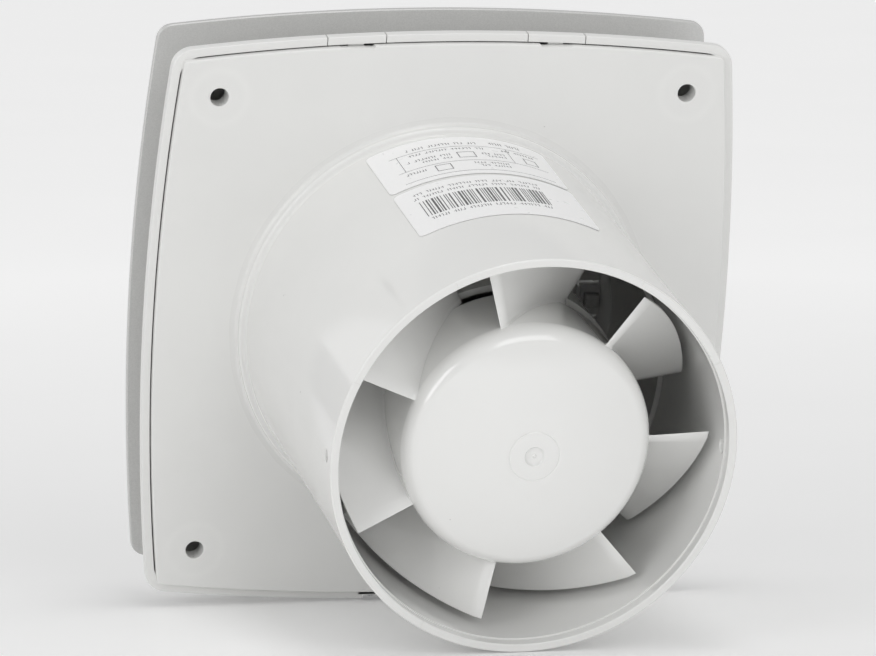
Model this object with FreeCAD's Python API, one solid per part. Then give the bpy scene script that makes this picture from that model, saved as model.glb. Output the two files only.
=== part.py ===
import FreeCAD, Part
import math
import os
from FreeCAD import Vector

# Axial bathroom extractor fan for a 100 mm duct, in millimetres.
# X runs to the right as the front panel is faced, +Y runs out of the duct spigot, +Z is up.
# The origin is on the duct axis, in the plane of the wall (the rear face of the back plate).

# --- Back plate and spigot -------------------------------------------------------------
PLATE_HALF = 68.6          # centre to corner line of the back plate, along X and along Z
SIDE_BULGE = 4.1           # how far each bowed side stands out past its two corners
PLATE_THICK = 2.4
PLATE_CORNER = 0.8
WALL_HOLE_PITCH = 119.0    # wall screws, across X and across Z
WALL_HOLE_R = 2.3
WALL_BOSS_R = 6.5
WALL_BOSS_HEIGHT = 3.0
SPIGOT_R = 49.5            # outside of the straight part that takes the duct
SPIGOT_LENGTH = 95.3
SPIGOT_DRAFT = 0.6         # how much wider the spigot is at its root
SPIGOT_DRAFT_END = 63.5    # the draft ends here and the straight part starts
SPIGOT_WALL = 2.4
ROOT_RING_WIDTH = 1.7      # step around the root of the spigot
ROOT_RING_HEIGHT = 2.4
DAMPER_HOLE_R = 1.5        # pivot holes for a backdraught flap, which this fan is sold without
DAMPER_HOLE_INSET = 4.9

# --- Front cover -----------------------------------------------------------------------
SEAM_GAP = 0.25            # hairline between the plate's edge and the cover's rim
RIM_WALL = 1.95
RIM_SETBACK = 1.7          # the rim stops this far in front of the wall
RIM_DEPTH = 3.0
RIM_CORNER = 5.5
FACE_HALF = 58.0
FACE_CORNER = 5.0
FACE_FRONT = 17.0          # how far the cover's face stands in front of the wall
FACE_THICK = 2.0
COLLAR_WALL = 1.3
COLLAR_GAP = 0.3
CATCH_INSET = 2.4          # from the collar's inside to the circle of the panel catches
CATCH_WIDTH = 8.0
CATCH_SLOT = 1.2
CATCH_LAND = 3.0
CATCH_REACH_INSET = 8.1
HOOK_OFFSET = 25.4
HOOK_WIDTH = 4.0
HOOK_NOTCH_WIDTH = 8.7
HOOK_NOTCH_DEPTH = 0.5
HOOK_TONGUE_WIDTH = 14.8
HOOK_SLIT = 0.25
HOOK_THICK = 0.9
HOOK_BITE = 1.2
COVER_SCREW_X = 12.0
COVER_SCREW_DEPTH = 5.4    # screw axis, in front of the wall
COVER_SCREW_R = 1.4
COVER_HEAD_R = 2.3
COVER_HEAD_HEIGHT = 1.65
COVER_SCREW_LENGTH = 8.0
SCREW_POCKET_WIDTH = 5.6
SCREW_POCKET_DEPTH = 1.0
BOSS_TO_COVER_GAP = 0.3

# --- Front panel -----------------------------------------------------------------------
PANEL_INSET = 0.55         # the panel is this much smaller than the cover's rim, all round
PANEL_BACK = 24.8          # how far its rear face stands in front of the wall
PANEL_THICK = 2.4
PANEL_CORNER = 4.0
PANEL_EDGE_ROUND = 1.2
STUD_WIDTH = 5.0
STUD_TIP_WIDTH = 3.4
STUD_TIP_LENGTH = 4.0
STUD_CLEARANCE = 0.2

# --- Motor carrier ---------------------------------------------------------------------
SLEEVE_GAP = 0.15          # sleeve to spigot bore
SLEEVE_WALL = 1.35
SLEEVE_END = 40.0
FLANGE_OVERHANG = 0.2      # the flange reaches this far past the ring it is screwed to
FLANGE_THICK = 2.0
CARRIER_SCREW_INSET = 2.2
CARRIER_SCREW_R = 1.2
CARRIER_HEAD_R = 2.1
CARRIER_HEAD_HEIGHT = 1.6
CARRIER_SCREW_LENGTH = 5.6
POD_R = 31.0
POD_WALL = 1.6
POD_TO_STACK = 16.0
POD_END = 59.6
POD_NOSE = 4.0
VANE_COUNT = 3
VANE_THICK = 2.0
VANE_START = 22.0
VANE_END = 39.0
LEAD_HOLE_R = 2.2
POST_R = 3.4

# --- Motor -----------------------------------------------------------------------------
STACK_MIDDLE = 43.5
STACK_THICK = 15.0
CORE_HALF_WIDTH = 18.0
CORE_TOP = 14.5
CORE_BOTTOM = 22.0
BORE_R = 11.2
BORE_BRIDGE = 1.6          # iron left between the bore and the coil window
CORE_LIMB = 6.0
COIL_LIMB_HEIGHT = 5.0
CORE_CHAMFER = 2.0
BOBBIN_CLEARANCE = 0.1
BOBBIN_WALL = 0.8
BOBBIN_FLANGE = 1.1
BOBBIN_LIP = 0.7
WINDING_THICK = 2.8
FUSE_R = 1.1
FUSE_LENGTH = 9.0
SHADING_BAR = 1.4
AIR_GAP = 0.4
END_RING_THICK = 1.6
END_RING_OUTER_INSET = 0.6
END_RING_INNER_R = 5.5
SHAFT_R = 2.0
SHAFT_REACH = 13.6         # how far the shaft stands out in front of the stack
BEARING_CLEARANCE = 0.05
BEARING_R = 4.2
BEARING_LENGTH = 7.2
BRIDGE_R = 15.5
BRIDGE_THICK = 1.8
BRIDGE_LEG_HEIGHT = 5.6
BRIDGE_LEG_WIDTH = 9.0
BRIDGE_BOSS_R = 6.0
BRIDGE_BOSS_HEIGHT = 5.8
BOLT_OFFSET = 14.5
BOLT_R = 1.5
BOLT_CLEARANCE = 0.1
BOLT_HEAD_R = 2.75
BOLT_HEAD_HEIGHT = 2.0
BOLT_BITE = 4.6
END_FLOAT = 0.3
WASHER_R = 4.0
WASHER_THICK = 0.6
SPACER_R = 3.2

# --- Impeller --------------------------------------------------------------------------
HUB_R = 30.4
HUB_WALL = 1.6
HUB_START = 64.6
HUB_APEX = 94.6
HUB_CROWN_R = 80.0
HUB_CORNER_R = 5.0
HUB_BOSS_R = 7.0
HUB_BOSS_START = 67.0
HUB_RIB_COUNT = 6
HUB_RIB_THICK = 1.2
HUB_RIB_START = 76.0
INSERT_R = 4.0
INSERT_START = 67.6
INSERT_LENGTH = 14.0
GATE_RING_R = 6.1
GATE_RING_WIDTH = 0.3
GATE_DIMPLE_R = 2.4
GATE_DIMPLE_DEPTH = 0.7
GATE_PIP_R = 0.5
GATE_PIP_HEIGHT = 0.35
BLADE_COUNT = 7
BLADE_FIRST = 74.4         # where blade 1's trailing edge stands, from +X towards +Z, in degrees
BLADE_SWEEP = 44.0         # how far round the axis a blade reaches, in degrees
BLADE_REAR = 86.35         # trailing edge, nearest the spigot's mouth
BLADE_FRONT = 60.6         # leading edge
BLADE_CAMBER = 0.85
BLADE_THICK = 1.4
BLADE_TIP_GAP_REAR = 2.1   # tip to bore, at the trailing edge
BLADE_TIP_GAP_FRONT = 1.3
BLADE_STATIONS = 7

# --- Wiring space ----------------------------------------------------------------------
GROMMET_X = -56.0
GROMMET_Z = -33.0
GROMMET_BORE_R = 4.0
GROMMET_WALL = 1.6
GROMMET_FLANGE_R = 7.4
GROMMET_FLANGE_THICK = 1.8
BLOCK_RIGHT = -27.0
BLOCK_TOP = -48.6
BLOCK_WIDTH = 11.0
BLOCK_HEIGHT = 16.0
BLOCK_DEPTH = 8.0
BLOCK_POLES = 2
TERMINAL_R = 1.9
TERMINAL_BORE_R = 1.2
TERMINAL_GAP = 0.05
TERMINAL_SCREW_R = 1.4
WIRE_DEPTH = 6.0           # wire centres in front of the wall, at the terminals
CLAMP_X = -50.0
CLAMP_Z = -47.0
CLAMP_LENGTH = 16.0
CLAMP_WIDTH = 6.0
CLAMP_THICK = 2.2
CLAMP_SCREW_INSET = 2.2
CLAMP_SCREW_R = 1.2
CLAMP_HEAD_R = 2.0
CLAMP_HEAD_HEIGHT = 1.4
CLAMP_POST_HEIGHT = 3.6
SWITCH_X = 43.0
SWITCH_WIDTH = 13.0
SWITCH_DEPTH = 9.0
SWITCH_TOP = -41.0
SWITCH_HEIGHT = 14.0
SWITCH_WALL = 1.5
SWITCH_LID = 1.2
PLUNGER_R = 1.5
PLUNGER_CLEARANCE = 0.15
PLUNGER_COLLAR_R = 3.0
PLUNGER_COLLAR_THICK = 1.4
PLUNGER_EYE_R = 2.2
PLUNGER_EYE_HOLE_R = 1.0
PLUNGER_EYE_THICK = 2.0
PLUNGER_REACH = 2.6        # the eye's centre below the switch body
SPRING_WIRE_R = 0.3
SPRING_R = 2.3
SPRING_TURNS = 6
CONTACT_THICK = 0.6
CONTACT_WIDTH = 3.0
CONTACT_STOP = 0.45        # a blade ends this far short of its lead's end point
BUSH_BORE_R = 1.2
BUSH_R = 2.3
BUSH_FLANGE_R = 3.4
BUSH_FLANGE_THICK = 1.0
BUSH_LENGTH = 8.2
BUSH_CLEARANCE = 0.1

# --- Internal wires: hand-laid routes --------------------------------------------------
LEAD_R = 0.75
NEUTRAL_LEAD = [
    (-9.0, 32.3, -19.5), (-9.2, 18.0, -19.6), (-9.5, 5.0, -20.4), (-9.9, -6.0, -28.0),
    (-11.0, -6.0, -40.5), (-15.0, -6.0, -51.0), (-27.0, -6.0, -52.6),
]
SWITCHED_LEAD = [
    (9.0, 32.3, -19.5), (9.2, 18.0, -19.6), (9.6, 5.0, -20.4), (14.0, -6.0, -22.6),
    (27.0, -6.0, -27.0), (37.2, -6.0, -32.0), (40.0, -6.0, -39.2),
]
LIVE_LEAD = [
    (34.5, -6.0, -52.0), (23.0, -6.0, -58.4), (5.0, -6.0, -59.6),
    (-13.0, -6.0, -61.2), (-27.0, -6.0, -60.6),
]
LEAD_NOTCH = 6.0           # width of the gap in the inlet collar that lets a lead through
LEAD_NOTCH_DEPTH = 8.2

# --- Labels ----------------------------------------------------------------------------
LABEL_THICK = 0.15
LABEL_LIFT = 0.1
LABEL_HALF_ANGLE = 26.5
LABEL_TURN = 1.0           # the labels' middle, from straight up towards +X, in degrees
RATING_START = 5.0
RATING_END = 32.4
BARCODE_START = 34.2
BARCODE_END = 62.6

# --- Values that follow from the sizes above ---------------------------------------------
RIM_INNER_HALF = PLATE_HALF + SEAM_GAP
RIM_OUTER_HALF = RIM_INNER_HALF + RIM_WALL
RIM_FRONT = RIM_SETBACK + RIM_DEPTH
PANEL_HALF = RIM_OUTER_HALF - PANEL_INSET
SPIGOT_BORE_R = SPIGOT_R - SPIGOT_WALL
SPIGOT_ROOT_R = SPIGOT_R + SPIGOT_DRAFT
ROOT_RING_R = SPIGOT_ROOT_R + ROOT_RING_WIDTH
FLANGE_FRONT = PLATE_THICK + FLANGE_THICK
SLEEVE_R = SPIGOT_BORE_R - SLEEVE_GAP
COLLAR_R = SLEEVE_R - SLEEVE_WALL    # inside of the sleeve and of the inlet collar
CATCH_RADIUS = COLLAR_R - CATCH_INSET
CATCH_REACH = COLLAR_R - CATCH_REACH_INSET
FLANGE_R = ROOT_RING_R + FLANGE_OVERHANG
CARRIER_SCREW_CIRCLE = ROOT_RING_R - CARRIER_SCREW_INSET
BLADE_TIP_REAR = SPIGOT_BORE_R - BLADE_TIP_GAP_REAR
BLADE_TIP_FRONT = SPIGOT_BORE_R - BLADE_TIP_GAP_FRONT
STACK_FRONT = STACK_MIDDLE - STACK_THICK / 2
STACK_REAR = STACK_MIDDLE + STACK_THICK / 2
POD_START = STACK_FRONT - POD_TO_STACK
SHAFT_START = STACK_FRONT - SHAFT_REACH
BRIDGE_REACH = STACK_THICK / 2 + BRIDGE_LEG_HEIGHT
WINDOW_TOP = -(BORE_R + BORE_BRIDGE)
WINDOW_BOTTOM = -(CORE_BOTTOM - COIL_LIMB_HEIGHT)
WINDOW_HALF = CORE_HALF_WIDTH - CORE_LIMB
LIMB_MIDDLE_Z = -(CORE_BOTTOM - COIL_LIMB_HEIGHT / 2)
SWITCH_Y = -(PLATE_THICK + SWITCH_DEPTH / 2)
SWITCH_BOTTOM = SWITCH_TOP - SWITCH_HEIGHT
CATCH_ANGLES = (0, 90, 180, 270)


# --- Small builders --------------------------------------------------------------------
def box(x0, x1, y0, y1, z0, z1):
    """A block between two corners."""
    corner = Vector(min(x0, x1), min(y0, y1), min(z0, z1))
    return Part.makeBox(abs(x1 - x0), abs(y1 - y0), abs(z1 - z0), corner)


def rod(radius, y0, y1, x=0.0, z=0.0):
    """A round bar along Y."""
    return Part.makeCylinder(radius, y1 - y0, Vector(x, y0, z), Vector(0, 1, 0))


def pin_z(radius, z0, z1, x, y):
    """A round bar along Z."""
    return Part.makeCylinder(radius, z1 - z0, Vector(x, y, z0), Vector(0, 0, 1))


def tube(outer, inner, y0, y1, x=0.0, z=0.0):
    """A round tube along Y."""
    return rod(outer, y0, y1, x, z).cut(rod(inner, y0 - 1, y1 + 1, x, z))


def turned(points):
    """A solid of revolution about Y from (radius, y) corners."""
    corners = [Vector(r, y, 0) for r, y in points]
    face = Part.Face(Part.makePolygon(corners + corners[:1]))
    return face.revolve(Vector(0, 0, 0), Vector(0, 1, 0), 360)


def about_axis(shape, degrees):
    """A copy turned about the fan's axis, from +X towards +Z."""
    copy = shape.copy()
    copy.rotate(Vector(0, 0, 0), Vector(0, 1, 0), -degrees)
    return copy


def fused(shapes):
    """One solid from many that touch or overlap."""
    whole = shapes[0]
    if len(shapes) > 1:
        whole = whole.fuse(shapes[1:])
    return whole.removeSplitter()


def save(name, *shapes):
    """Write one node: a single solid, or a group of separate solids."""
    solids = [solid for shape in shapes for solid in shape.Solids]
    body = solids[0] if len(solids) == 1 else Part.makeCompound(solids)
    body.exportStep("parts/" + name + ".step")


def bowed_wire(half, corner, y):
    """Square outline at height y whose sides are shallow arcs and whose corners are round."""
    side_r = (half ** 2 + SIDE_BULGE ** 2) / (2 * SIDE_BULGE)
    side_centre = half + SIDE_BULGE - side_r
    reach = side_r - corner
    corner_centre = (side_centre + math.sqrt(2 * reach ** 2 - side_centre ** 2)) / 2
    scale = side_r / reach
    touch = (corner_centre * scale, side_centre + (corner_centre - side_centre) * scale)
    tip = corner_centre + corner / math.sqrt(2)
    edges = []
    for quarter in range(4):
        points = [(-touch[0], touch[1]), (0, half + SIDE_BULGE), touch, (tip, tip), touch[::-1]]
        placed = []
        for u, v in points:
            for _ in range(quarter):
                u, v = v, -u
            placed.append(Vector(u, y, v))
        edges.append(Part.Arc(placed[0], placed[1], placed[2]).toShape())
        edges.append(Part.Arc(placed[2], placed[3], placed[4]).toShape())
    return Part.Wire(Part.sortEdges(edges)[0])


def bowed_block(half, corner, y0, y1):
    """A slab with the bowed outline."""
    return Part.Face(bowed_wire(half, corner, y0)).extrude(Vector(0, y1 - y0, 0))


def bowed_taper(half0, corner0, y0, half1, corner1, y1):
    """A solid that runs straight from one bowed outline to another."""
    wires = [bowed_wire(half0, corner0, y0), bowed_wire(half1, corner1, y1)]
    return Part.makeLoft(wires, True, True)


def edge_z(half, x):
    """How far from the axis a bowed side lies at a place along it."""
    side_r = (half ** 2 + SIDE_BULGE ** 2) / (2 * SIDE_BULGE)
    return half + SIDE_BULGE - side_r + math.sqrt(side_r ** 2 - x ** 2)


def dome_head(radius, height, base, direction, at):
    """A round-topped screw head standing on a plane, with its crown away from the shank."""
    crown_r = (radius ** 2 + height ** 2) / (2 * height)
    ball = Part.makeSphere(crown_r, Vector(0, 0, height - crown_r))
    head = ball.common(Part.makeCylinder(radius, height, Vector(0, 0, 0)))
    slot_depth = height * 0.45
    slot = Part.makeBox(radius * 1.1, radius * 0.28, slot_depth * 2)
    slot.translate(Vector(-radius * 0.55, -radius * 0.14, height - slot_depth))
    cross = slot.copy()
    cross.rotate(Vector(0, 0, 0), Vector(0, 0, 1), 90)
    head = head.cut(slot).cut(cross)
    turn = FreeCAD.Rotation(Vector(0, 0, 1), direction)
    head.Placement = FreeCAD.Placement(at + direction * base, turn)
    return head


def rounded_route(points):
    """Straight runs joined by arcs that are as large as the two runs beside them allow."""
    places = [Vector(*point) for point in points]
    edges = []
    radii = []
    start = places[0]
    for before, here, after in zip(places, places[1:], places[2:]):
        back = (before - here).normalize()
        ahead = (after - here).normalize()
        half_turn = (math.pi - back.getAngle(ahead)) / 2
        shorter = min((before - here).Length, (after - here).Length)
        radius = 0.45 * shorter / math.tan(half_turn)
        cut_back = radius * math.tan(half_turn)
        enter = here + back * cut_back
        leave = here + ahead * cut_back
        inward = (back + ahead).normalize()
        middle = here + inward * (radius / math.cos(half_turn) - radius)
        edges.append(Part.LineSegment(start, enter).toShape())
        edges.append(Part.Arc(enter, middle, leave).toShape())
        radii.append(round(radius, 1))
        start = leave
    edges.append(Part.LineSegment(start, places[-1]).toShape())
    return Part.Wire(edges), radii


def lead(name, points):
    """One insulated wire along its route."""
    path, radii = rounded_route(points)
    direction = (Vector(*points[1]) - Vector(*points[0])).normalize()
    profile = Part.Wire(Part.makeCircle(LEAD_R, Vector(*points[0]), direction))
    wire = path.makePipeShell([profile], True, True)
    expected = math.pi * LEAD_R ** 2 * path.Length
    print(name, "length", round(path.Length, 1), "bend radii", radii,
          "volume ratio", round(wire.Volume / expected, 4))
    return wire


# --- Back plate and spigot ----------------------------------------------------------------------
def back_plate():
    """Bowed plate that lies on the wall, with everything that stands on its room side."""
    solids = [bowed_block(PLATE_HALF, PLATE_CORNER, -PLATE_THICK, 0)]
    half_pitch = WALL_HOLE_PITCH / 2
    corners = [(sx * half_pitch, sz * half_pitch) for sx in (-1, 1) for sz in (-1, 1)]
    for x, z in corners:
        solids.append(rod(WALL_BOSS_R, -PLATE_THICK - WALL_BOSS_HEIGHT, -PLATE_THICK, x, z))
    solids.append(cover_screw_boss())
    solids += hook_ledges()
    solids += clamp_posts()
    whole = fused(solids)

    cuts = [rod(ROOT_RING_R, -PLATE_THICK - 1, 1)]
    for x, z in corners:
        cuts.append(rod(WALL_HOLE_R, -PLATE_THICK - WALL_BOSS_HEIGHT - 1, 1, x, z))
    cuts.append(rod(GROMMET_BORE_R + GROMMET_WALL, -PLATE_THICK - 1, 1, GROMMET_X, GROMMET_Z))
    for side in (-1, 1):
        edge = edge_z(PLATE_HALF, HOOK_OFFSET)
        middle = side * HOOK_OFFSET
        cuts.append(box(middle - HOOK_NOTCH_WIDTH / 2, middle + HOOK_NOTCH_WIDTH / 2,
                        -PLATE_THICK - 0.1, 1, edge - HOOK_NOTCH_DEPTH, edge + 3))
    return whole.cut(cuts)


def duct_spigot():
    """Round spigot that takes the duct; its root fills the plate's round opening."""
    spigot = turned([
        (SPIGOT_BORE_R, -PLATE_THICK), (ROOT_RING_R, -PLATE_THICK), (ROOT_RING_R, ROOT_RING_HEIGHT),
        (SPIGOT_ROOT_R, ROOT_RING_HEIGHT + 0.3), (SPIGOT_R, SPIGOT_DRAFT_END),
        (SPIGOT_R, SPIGOT_LENGTH), (SPIGOT_BORE_R, SPIGOT_LENGTH),
    ])
    damper_y = SPIGOT_LENGTH - DAMPER_HOLE_INSET
    cuts = [Part.makeCylinder(DAMPER_HOLE_R, 2 * SPIGOT_R + 4,
                              Vector(-SPIGOT_R - 2, damper_y, 0), Vector(1, 0, 0))]
    bite = CARRIER_SCREW_LENGTH - FLANGE_THICK
    for x, z in carrier_screw_places():
        cuts.append(rod(CARRIER_SCREW_R, -PLATE_THICK - 1, -PLATE_THICK + bite, x, z))
    return spigot.cut(cuts)


def carrier_screw_places():
    """(x, z) of the screws that hold the motor carrier, one beside each vane."""
    places = []
    for index in range(VANE_COUNT):
        angle = math.radians(90 + index * 360 / VANE_COUNT)
        places.append((CARRIER_SCREW_CIRCLE * math.cos(angle), CARRIER_SCREW_CIRCLE * math.sin(angle)))
    return places


def screw_pocket_floor():
    """Height of the flat that the cover screw's head sits on."""
    return -(edge_z(RIM_OUTER_HALF, COVER_SCREW_X) - SCREW_POCKET_DEPTH)


def cover_screw_boss():
    """Block on the plate that the cover screw bites into."""
    top = screw_pocket_floor() + COVER_SCREW_LENGTH + 1.5
    bottom = -(edge_z(PLATE_HALF, COVER_SCREW_X) - 0.3)
    wide = COVER_SCREW_R + 2.2
    block = box(COVER_SCREW_X - wide, COVER_SCREW_X + wide,
                -COVER_SCREW_DEPTH - 2.6, -PLATE_THICK, bottom, top)
    hole = pin_z(COVER_SCREW_R, bottom - 1, screw_pocket_floor() + COVER_SCREW_LENGTH,
                 COVER_SCREW_X, -COVER_SCREW_DEPTH)
    return block.common(cover_hollow(BOSS_TO_COVER_GAP)).cut(hole)


def hook_heights():
    """Where the cover's hook and the plate's ledge overlap, above the axis."""
    inner = edge_z(RIM_INNER_HALF, HOOK_OFFSET)
    return inner, inner - HOOK_BITE - 0.4


def hook_ledges():
    """Two small catches on the plate that the cover's hooks engage."""
    inner, low = hook_heights()
    hook_front = PLATE_THICK + 0.2 + HOOK_THICK
    ledges = []
    for side in (-1, 1):
        middle = side * HOOK_OFFSET
        x0, x1 = middle - HOOK_WIDTH / 2, middle + HOOK_WIDTH / 2
        post = box(x0, x1, -hook_front - 1.1, -PLATE_THICK + 0.5, low - 2.2, low - 0.2)
        lip = box(x0, x1, -hook_front - 1.1, -hook_front - 0.3, low - 0.2, inner - 0.6)
        ledges += [post, lip]
    return ledges


def clamp_places():
    """(x, z) of the two cable clamp screws."""
    reach = CLAMP_LENGTH / 2 - CLAMP_SCREW_INSET
    return [(CLAMP_X - reach, CLAMP_Z), (CLAMP_X + reach, CLAMP_Z)]


def clamp_posts():
    """Two short posts that carry the cable clamp."""
    posts = []
    top = -PLATE_THICK - CLAMP_POST_HEIGHT
    for x, z in clamp_places():
        post = rod(CLAMP_HEAD_R + 0.2, top, -PLATE_THICK, x, z)
        posts.append(post.cut(rod(CLAMP_SCREW_R, top - 1, -PLATE_THICK, x, z)))
    return posts


# --- Front cover -----------------------------------------------------------------------
def cover_hollow(gap):
    """The space that the cover encloses, smaller by a gap on each side."""
    rim_y = -RIM_FRONT
    inner_corner = PLATE_CORNER + SEAM_GAP
    straight = bowed_block(RIM_INNER_HALF - gap, inner_corner, rim_y, 1)
    sloping = bowed_taper(RIM_INNER_HALF - gap, inner_corner, rim_y,
                          FACE_HALF - gap, FACE_CORNER, -FACE_FRONT + FACE_THICK + gap)
    return straight.fuse(sloping)


def cover_shell():
    """Rim, sloping shoulder and face, as a thin shell."""
    rim = bowed_block(RIM_OUTER_HALF, RIM_CORNER, -RIM_FRONT, -RIM_SETBACK)
    shoulder = bowed_taper(RIM_OUTER_HALF, RIM_CORNER, -RIM_FRONT,
                           FACE_HALF, FACE_CORNER, -FACE_FRONT)
    return rim.fuse(shoulder).cut(cover_hollow(0)).removeSplitter()


def catch_land():
    """Inward lug of the inlet that carries one spring catch, on the +X side."""
    half = CATCH_WIDTH / 2 + CATCH_SLOT + CATCH_LAND
    return box(CATCH_REACH, COLLAR_R + COLLAR_WALL, -FACE_FRONT, -FACE_FRONT + FACE_THICK,
               -half, half)


def catch_cuts():
    """The slot that frees the catch on three sides, and its hole for the panel's stud."""
    inner = CATCH_REACH + CATCH_LAND * 0.6
    y0, y1 = -FACE_FRONT - 1, -FACE_FRONT + FACE_THICK + 1
    half = CATCH_WIDTH / 2
    hole = STUD_TIP_WIDTH / 2 + STUD_CLEARANCE
    sides = [box(inner, COLLAR_R - 0.3, y0, y1, s * half, s * (half + CATCH_SLOT)) for s in (-1, 1)]
    end = box(inner, inner + CATCH_SLOT, y0, y1, -half - CATCH_SLOT, half + CATCH_SLOT)
    window = box(CATCH_RADIUS - hole, CATCH_RADIUS + hole, y0, y1, -hole, hole)
    return sides + [end, window]


def lead_notches(points):
    """Gaps in the inlet collar, one wherever a wire route crosses it outwards."""
    wall = COLLAR_R + COLLAR_WALL / 2
    block = box(COLLAR_R - 3, COLLAR_R + COLLAR_WALL + 3, -LEAD_NOTCH_DEPTH, -PLATE_THICK,
                -LEAD_NOTCH / 2, LEAD_NOTCH / 2)
    notches = []
    for a, b in zip(points, points[1:]):
        r_a = math.hypot(a[0], a[2])
        r_b = math.hypot(b[0], b[2])
        if r_a < wall <= r_b:
            part = (wall - r_a) / (r_b - r_a)
            angle = math.degrees(math.atan2(a[2] + part * (b[2] - a[2]), a[0] + part * (b[0] - a[0])))
            notches.append(about_axis(block, angle))
    return notches


def front_cover():
    """Moulded cover that closes the wiring space and guides air into the sleeve."""
    solids = [cover_shell()]
    collar_end = -FLANGE_FRONT - COLLAR_GAP
    solids.append(tube(COLLAR_R + COLLAR_WALL, COLLAR_R, -FACE_FRONT, collar_end))
    cuts = [rod(COLLAR_R, -FACE_FRONT - 1, 1)]
    pocket = screw_pocket_floor()
    wide = SCREW_POCKET_WIDTH / 2
    pad_front = -COVER_SCREW_DEPTH - COVER_HEAD_R - 0.9
    pad = box(COVER_SCREW_X - wide - 1.4, COVER_SCREW_X + wide + 1.4, pad_front, -RIM_SETBACK,
              pocket, -(edge_z(RIM_INNER_HALF, COVER_SCREW_X) - 0.05))
    cuts.append(box(COVER_SCREW_X - wide, COVER_SCREW_X + wide, pad_front, 1, pocket - 5, pocket))
    cuts.append(pin_z(COVER_SCREW_R + 0.2, pocket - 1, pocket + 5, COVER_SCREW_X, -COVER_SCREW_DEPTH))
    bush_z = bush_flange_z()
    cuts.append(pin_z(BUSH_R + BUSH_CLEARANCE, bush_z - 12, bush_z + 1, SWITCH_X, SWITCH_Y))
    for points in (NEUTRAL_LEAD, SWITCHED_LEAD):
        cuts += lead_notches(points)
    for side in (-1, 1):
        for end in (-1, 1):
            x = side * HOOK_OFFSET + end * HOOK_TONGUE_WIDTH / 2
            top = edge_z(RIM_OUTER_HALF, x) + 1
            low = edge_z(RIM_INNER_HALF, x) - 3.4
            cuts.append(box(x - HOOK_SLIT / 2, x + HOOK_SLIT / 2, -RIM_FRONT - 2.2, 0, low, top))
    shell = fused(solids + [pad]).cut(cuts)
    lands = [about_axis(catch_land(), angle) for angle in CATCH_ANGLES]
    trims = [about_axis(cut, angle) for cut in catch_cuts() for angle in CATCH_ANGLES]
    return fused([shell] + lands + cover_hooks()).cut(trims)


def cover_hooks():
    """Two hooks inside the rim's top side."""
    inner, low = hook_heights()
    hooks = []
    for side in (-1, 1):
        middle = side * HOOK_OFFSET
        hooks.append(box(middle - HOOK_WIDTH / 2, middle + HOOK_WIDTH / 2,
                         -PLATE_THICK - 0.2 - HOOK_THICK, -PLATE_THICK - 0.2, low, inner + 0.6))
    return hooks


def bush_flange_z():
    """Height of the cord bush's flange, which rests inside the sloping shoulder."""
    slope = (RIM_INNER_HALF - FACE_HALF) / (FACE_FRONT - FACE_THICK - RIM_FRONT)
    depth = -SWITCH_Y + BUSH_FLANGE_R
    half = RIM_INNER_HALF - slope * (depth - RIM_FRONT)
    return -edge_z(half, SWITCH_X + BUSH_FLANGE_R) + 0.1


def front_panel():
    """Flat decorative panel that hides the inlet, with its four studs."""
    plate = bowed_block(PANEL_HALF, PANEL_CORNER, -PANEL_BACK - PANEL_THICK, -PANEL_BACK)
    front = [edge for edge in plate.Edges
             if abs(edge.BoundBox.YMax + PANEL_BACK + PANEL_THICK) < 0.01]
    plate = plate.makeFillet(PANEL_EDGE_ROUND, front)
    half = STUD_WIDTH / 2
    tip = STUD_TIP_WIDTH / 2
    studs = []
    for angle in CATCH_ANGLES:
        stem = box(CATCH_RADIUS - half, CATCH_RADIUS + half, -PANEL_BACK - 0.5, -FACE_FRONT,
                   -half, half)
        nose = box(CATCH_RADIUS - tip, CATCH_RADIUS + tip, -FACE_FRONT,
                   -FACE_FRONT + STUD_TIP_LENGTH, -tip, tip)
        ends = [edge for edge in nose.Edges
                if edge.BoundBox.YMin > -FACE_FRONT + STUD_TIP_LENGTH - 0.01]
        nose = nose.makeChamfer(0.6, ends)
        studs.append(about_axis(stem.fuse(nose), angle))
    return fused([plate] + studs)


# --- Motor carrier ---------------------------------------------------------------------
def motor_carrier():
    """Flanged sleeve in the spigot, with vanes that hold the motor pod on the axis."""
    flange = tube(FLANGE_R, COLLAR_R, -FLANGE_FRONT, -PLATE_THICK)
    sleeve = tube(SLEEVE_R, COLLAR_R, -PLATE_THICK, SLEEVE_END)
    nose = POD_NOSE
    pod = turned([
        (0, POD_START), (POD_R - nose, POD_START), (POD_R, POD_START + nose),
        (POD_R, POD_END), (POD_R - POD_WALL, POD_END),
        (POD_R - POD_WALL, POD_START + nose + 0.4),
        (POD_R - nose - 0.6, POD_START + POD_WALL), (0, POD_START + POD_WALL),
    ])
    solids = [flange, sleeve, pod]
    for index in range(VANE_COUNT):
        vane = box(POD_R - POD_WALL / 2, COLLAR_R + 0.5, VANE_START, VANE_END,
                   -VANE_THICK / 2, VANE_THICK / 2)
        solids.append(about_axis(vane, 90 + index * 360 / VANE_COUNT))
    post_end = STACK_MIDDLE - BRIDGE_REACH - BRIDGE_THICK
    for side in (-1, 1):
        solids.append(rod(POST_R, POD_START + POD_WALL / 2, post_end, side * BOLT_OFFSET))
    cuts = [rod(CARRIER_SCREW_R + 0.2, -FLANGE_FRONT - 1, 0, x, z) for x, z in carrier_screw_places()]
    for side in (-1, 1):
        cuts.append(rod(BOLT_R, post_end - BOLT_BITE - 0.5, post_end + 1, side * BOLT_OFFSET))
    for points in (NEUTRAL_LEAD, SWITCHED_LEAD):
        x, _, z = points[1]
        cuts.append(rod(LEAD_HOLE_R, POD_START - 1, POD_START + POD_WALL + 2, x, z))
    return fused(solids).cut(cuts)


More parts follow.
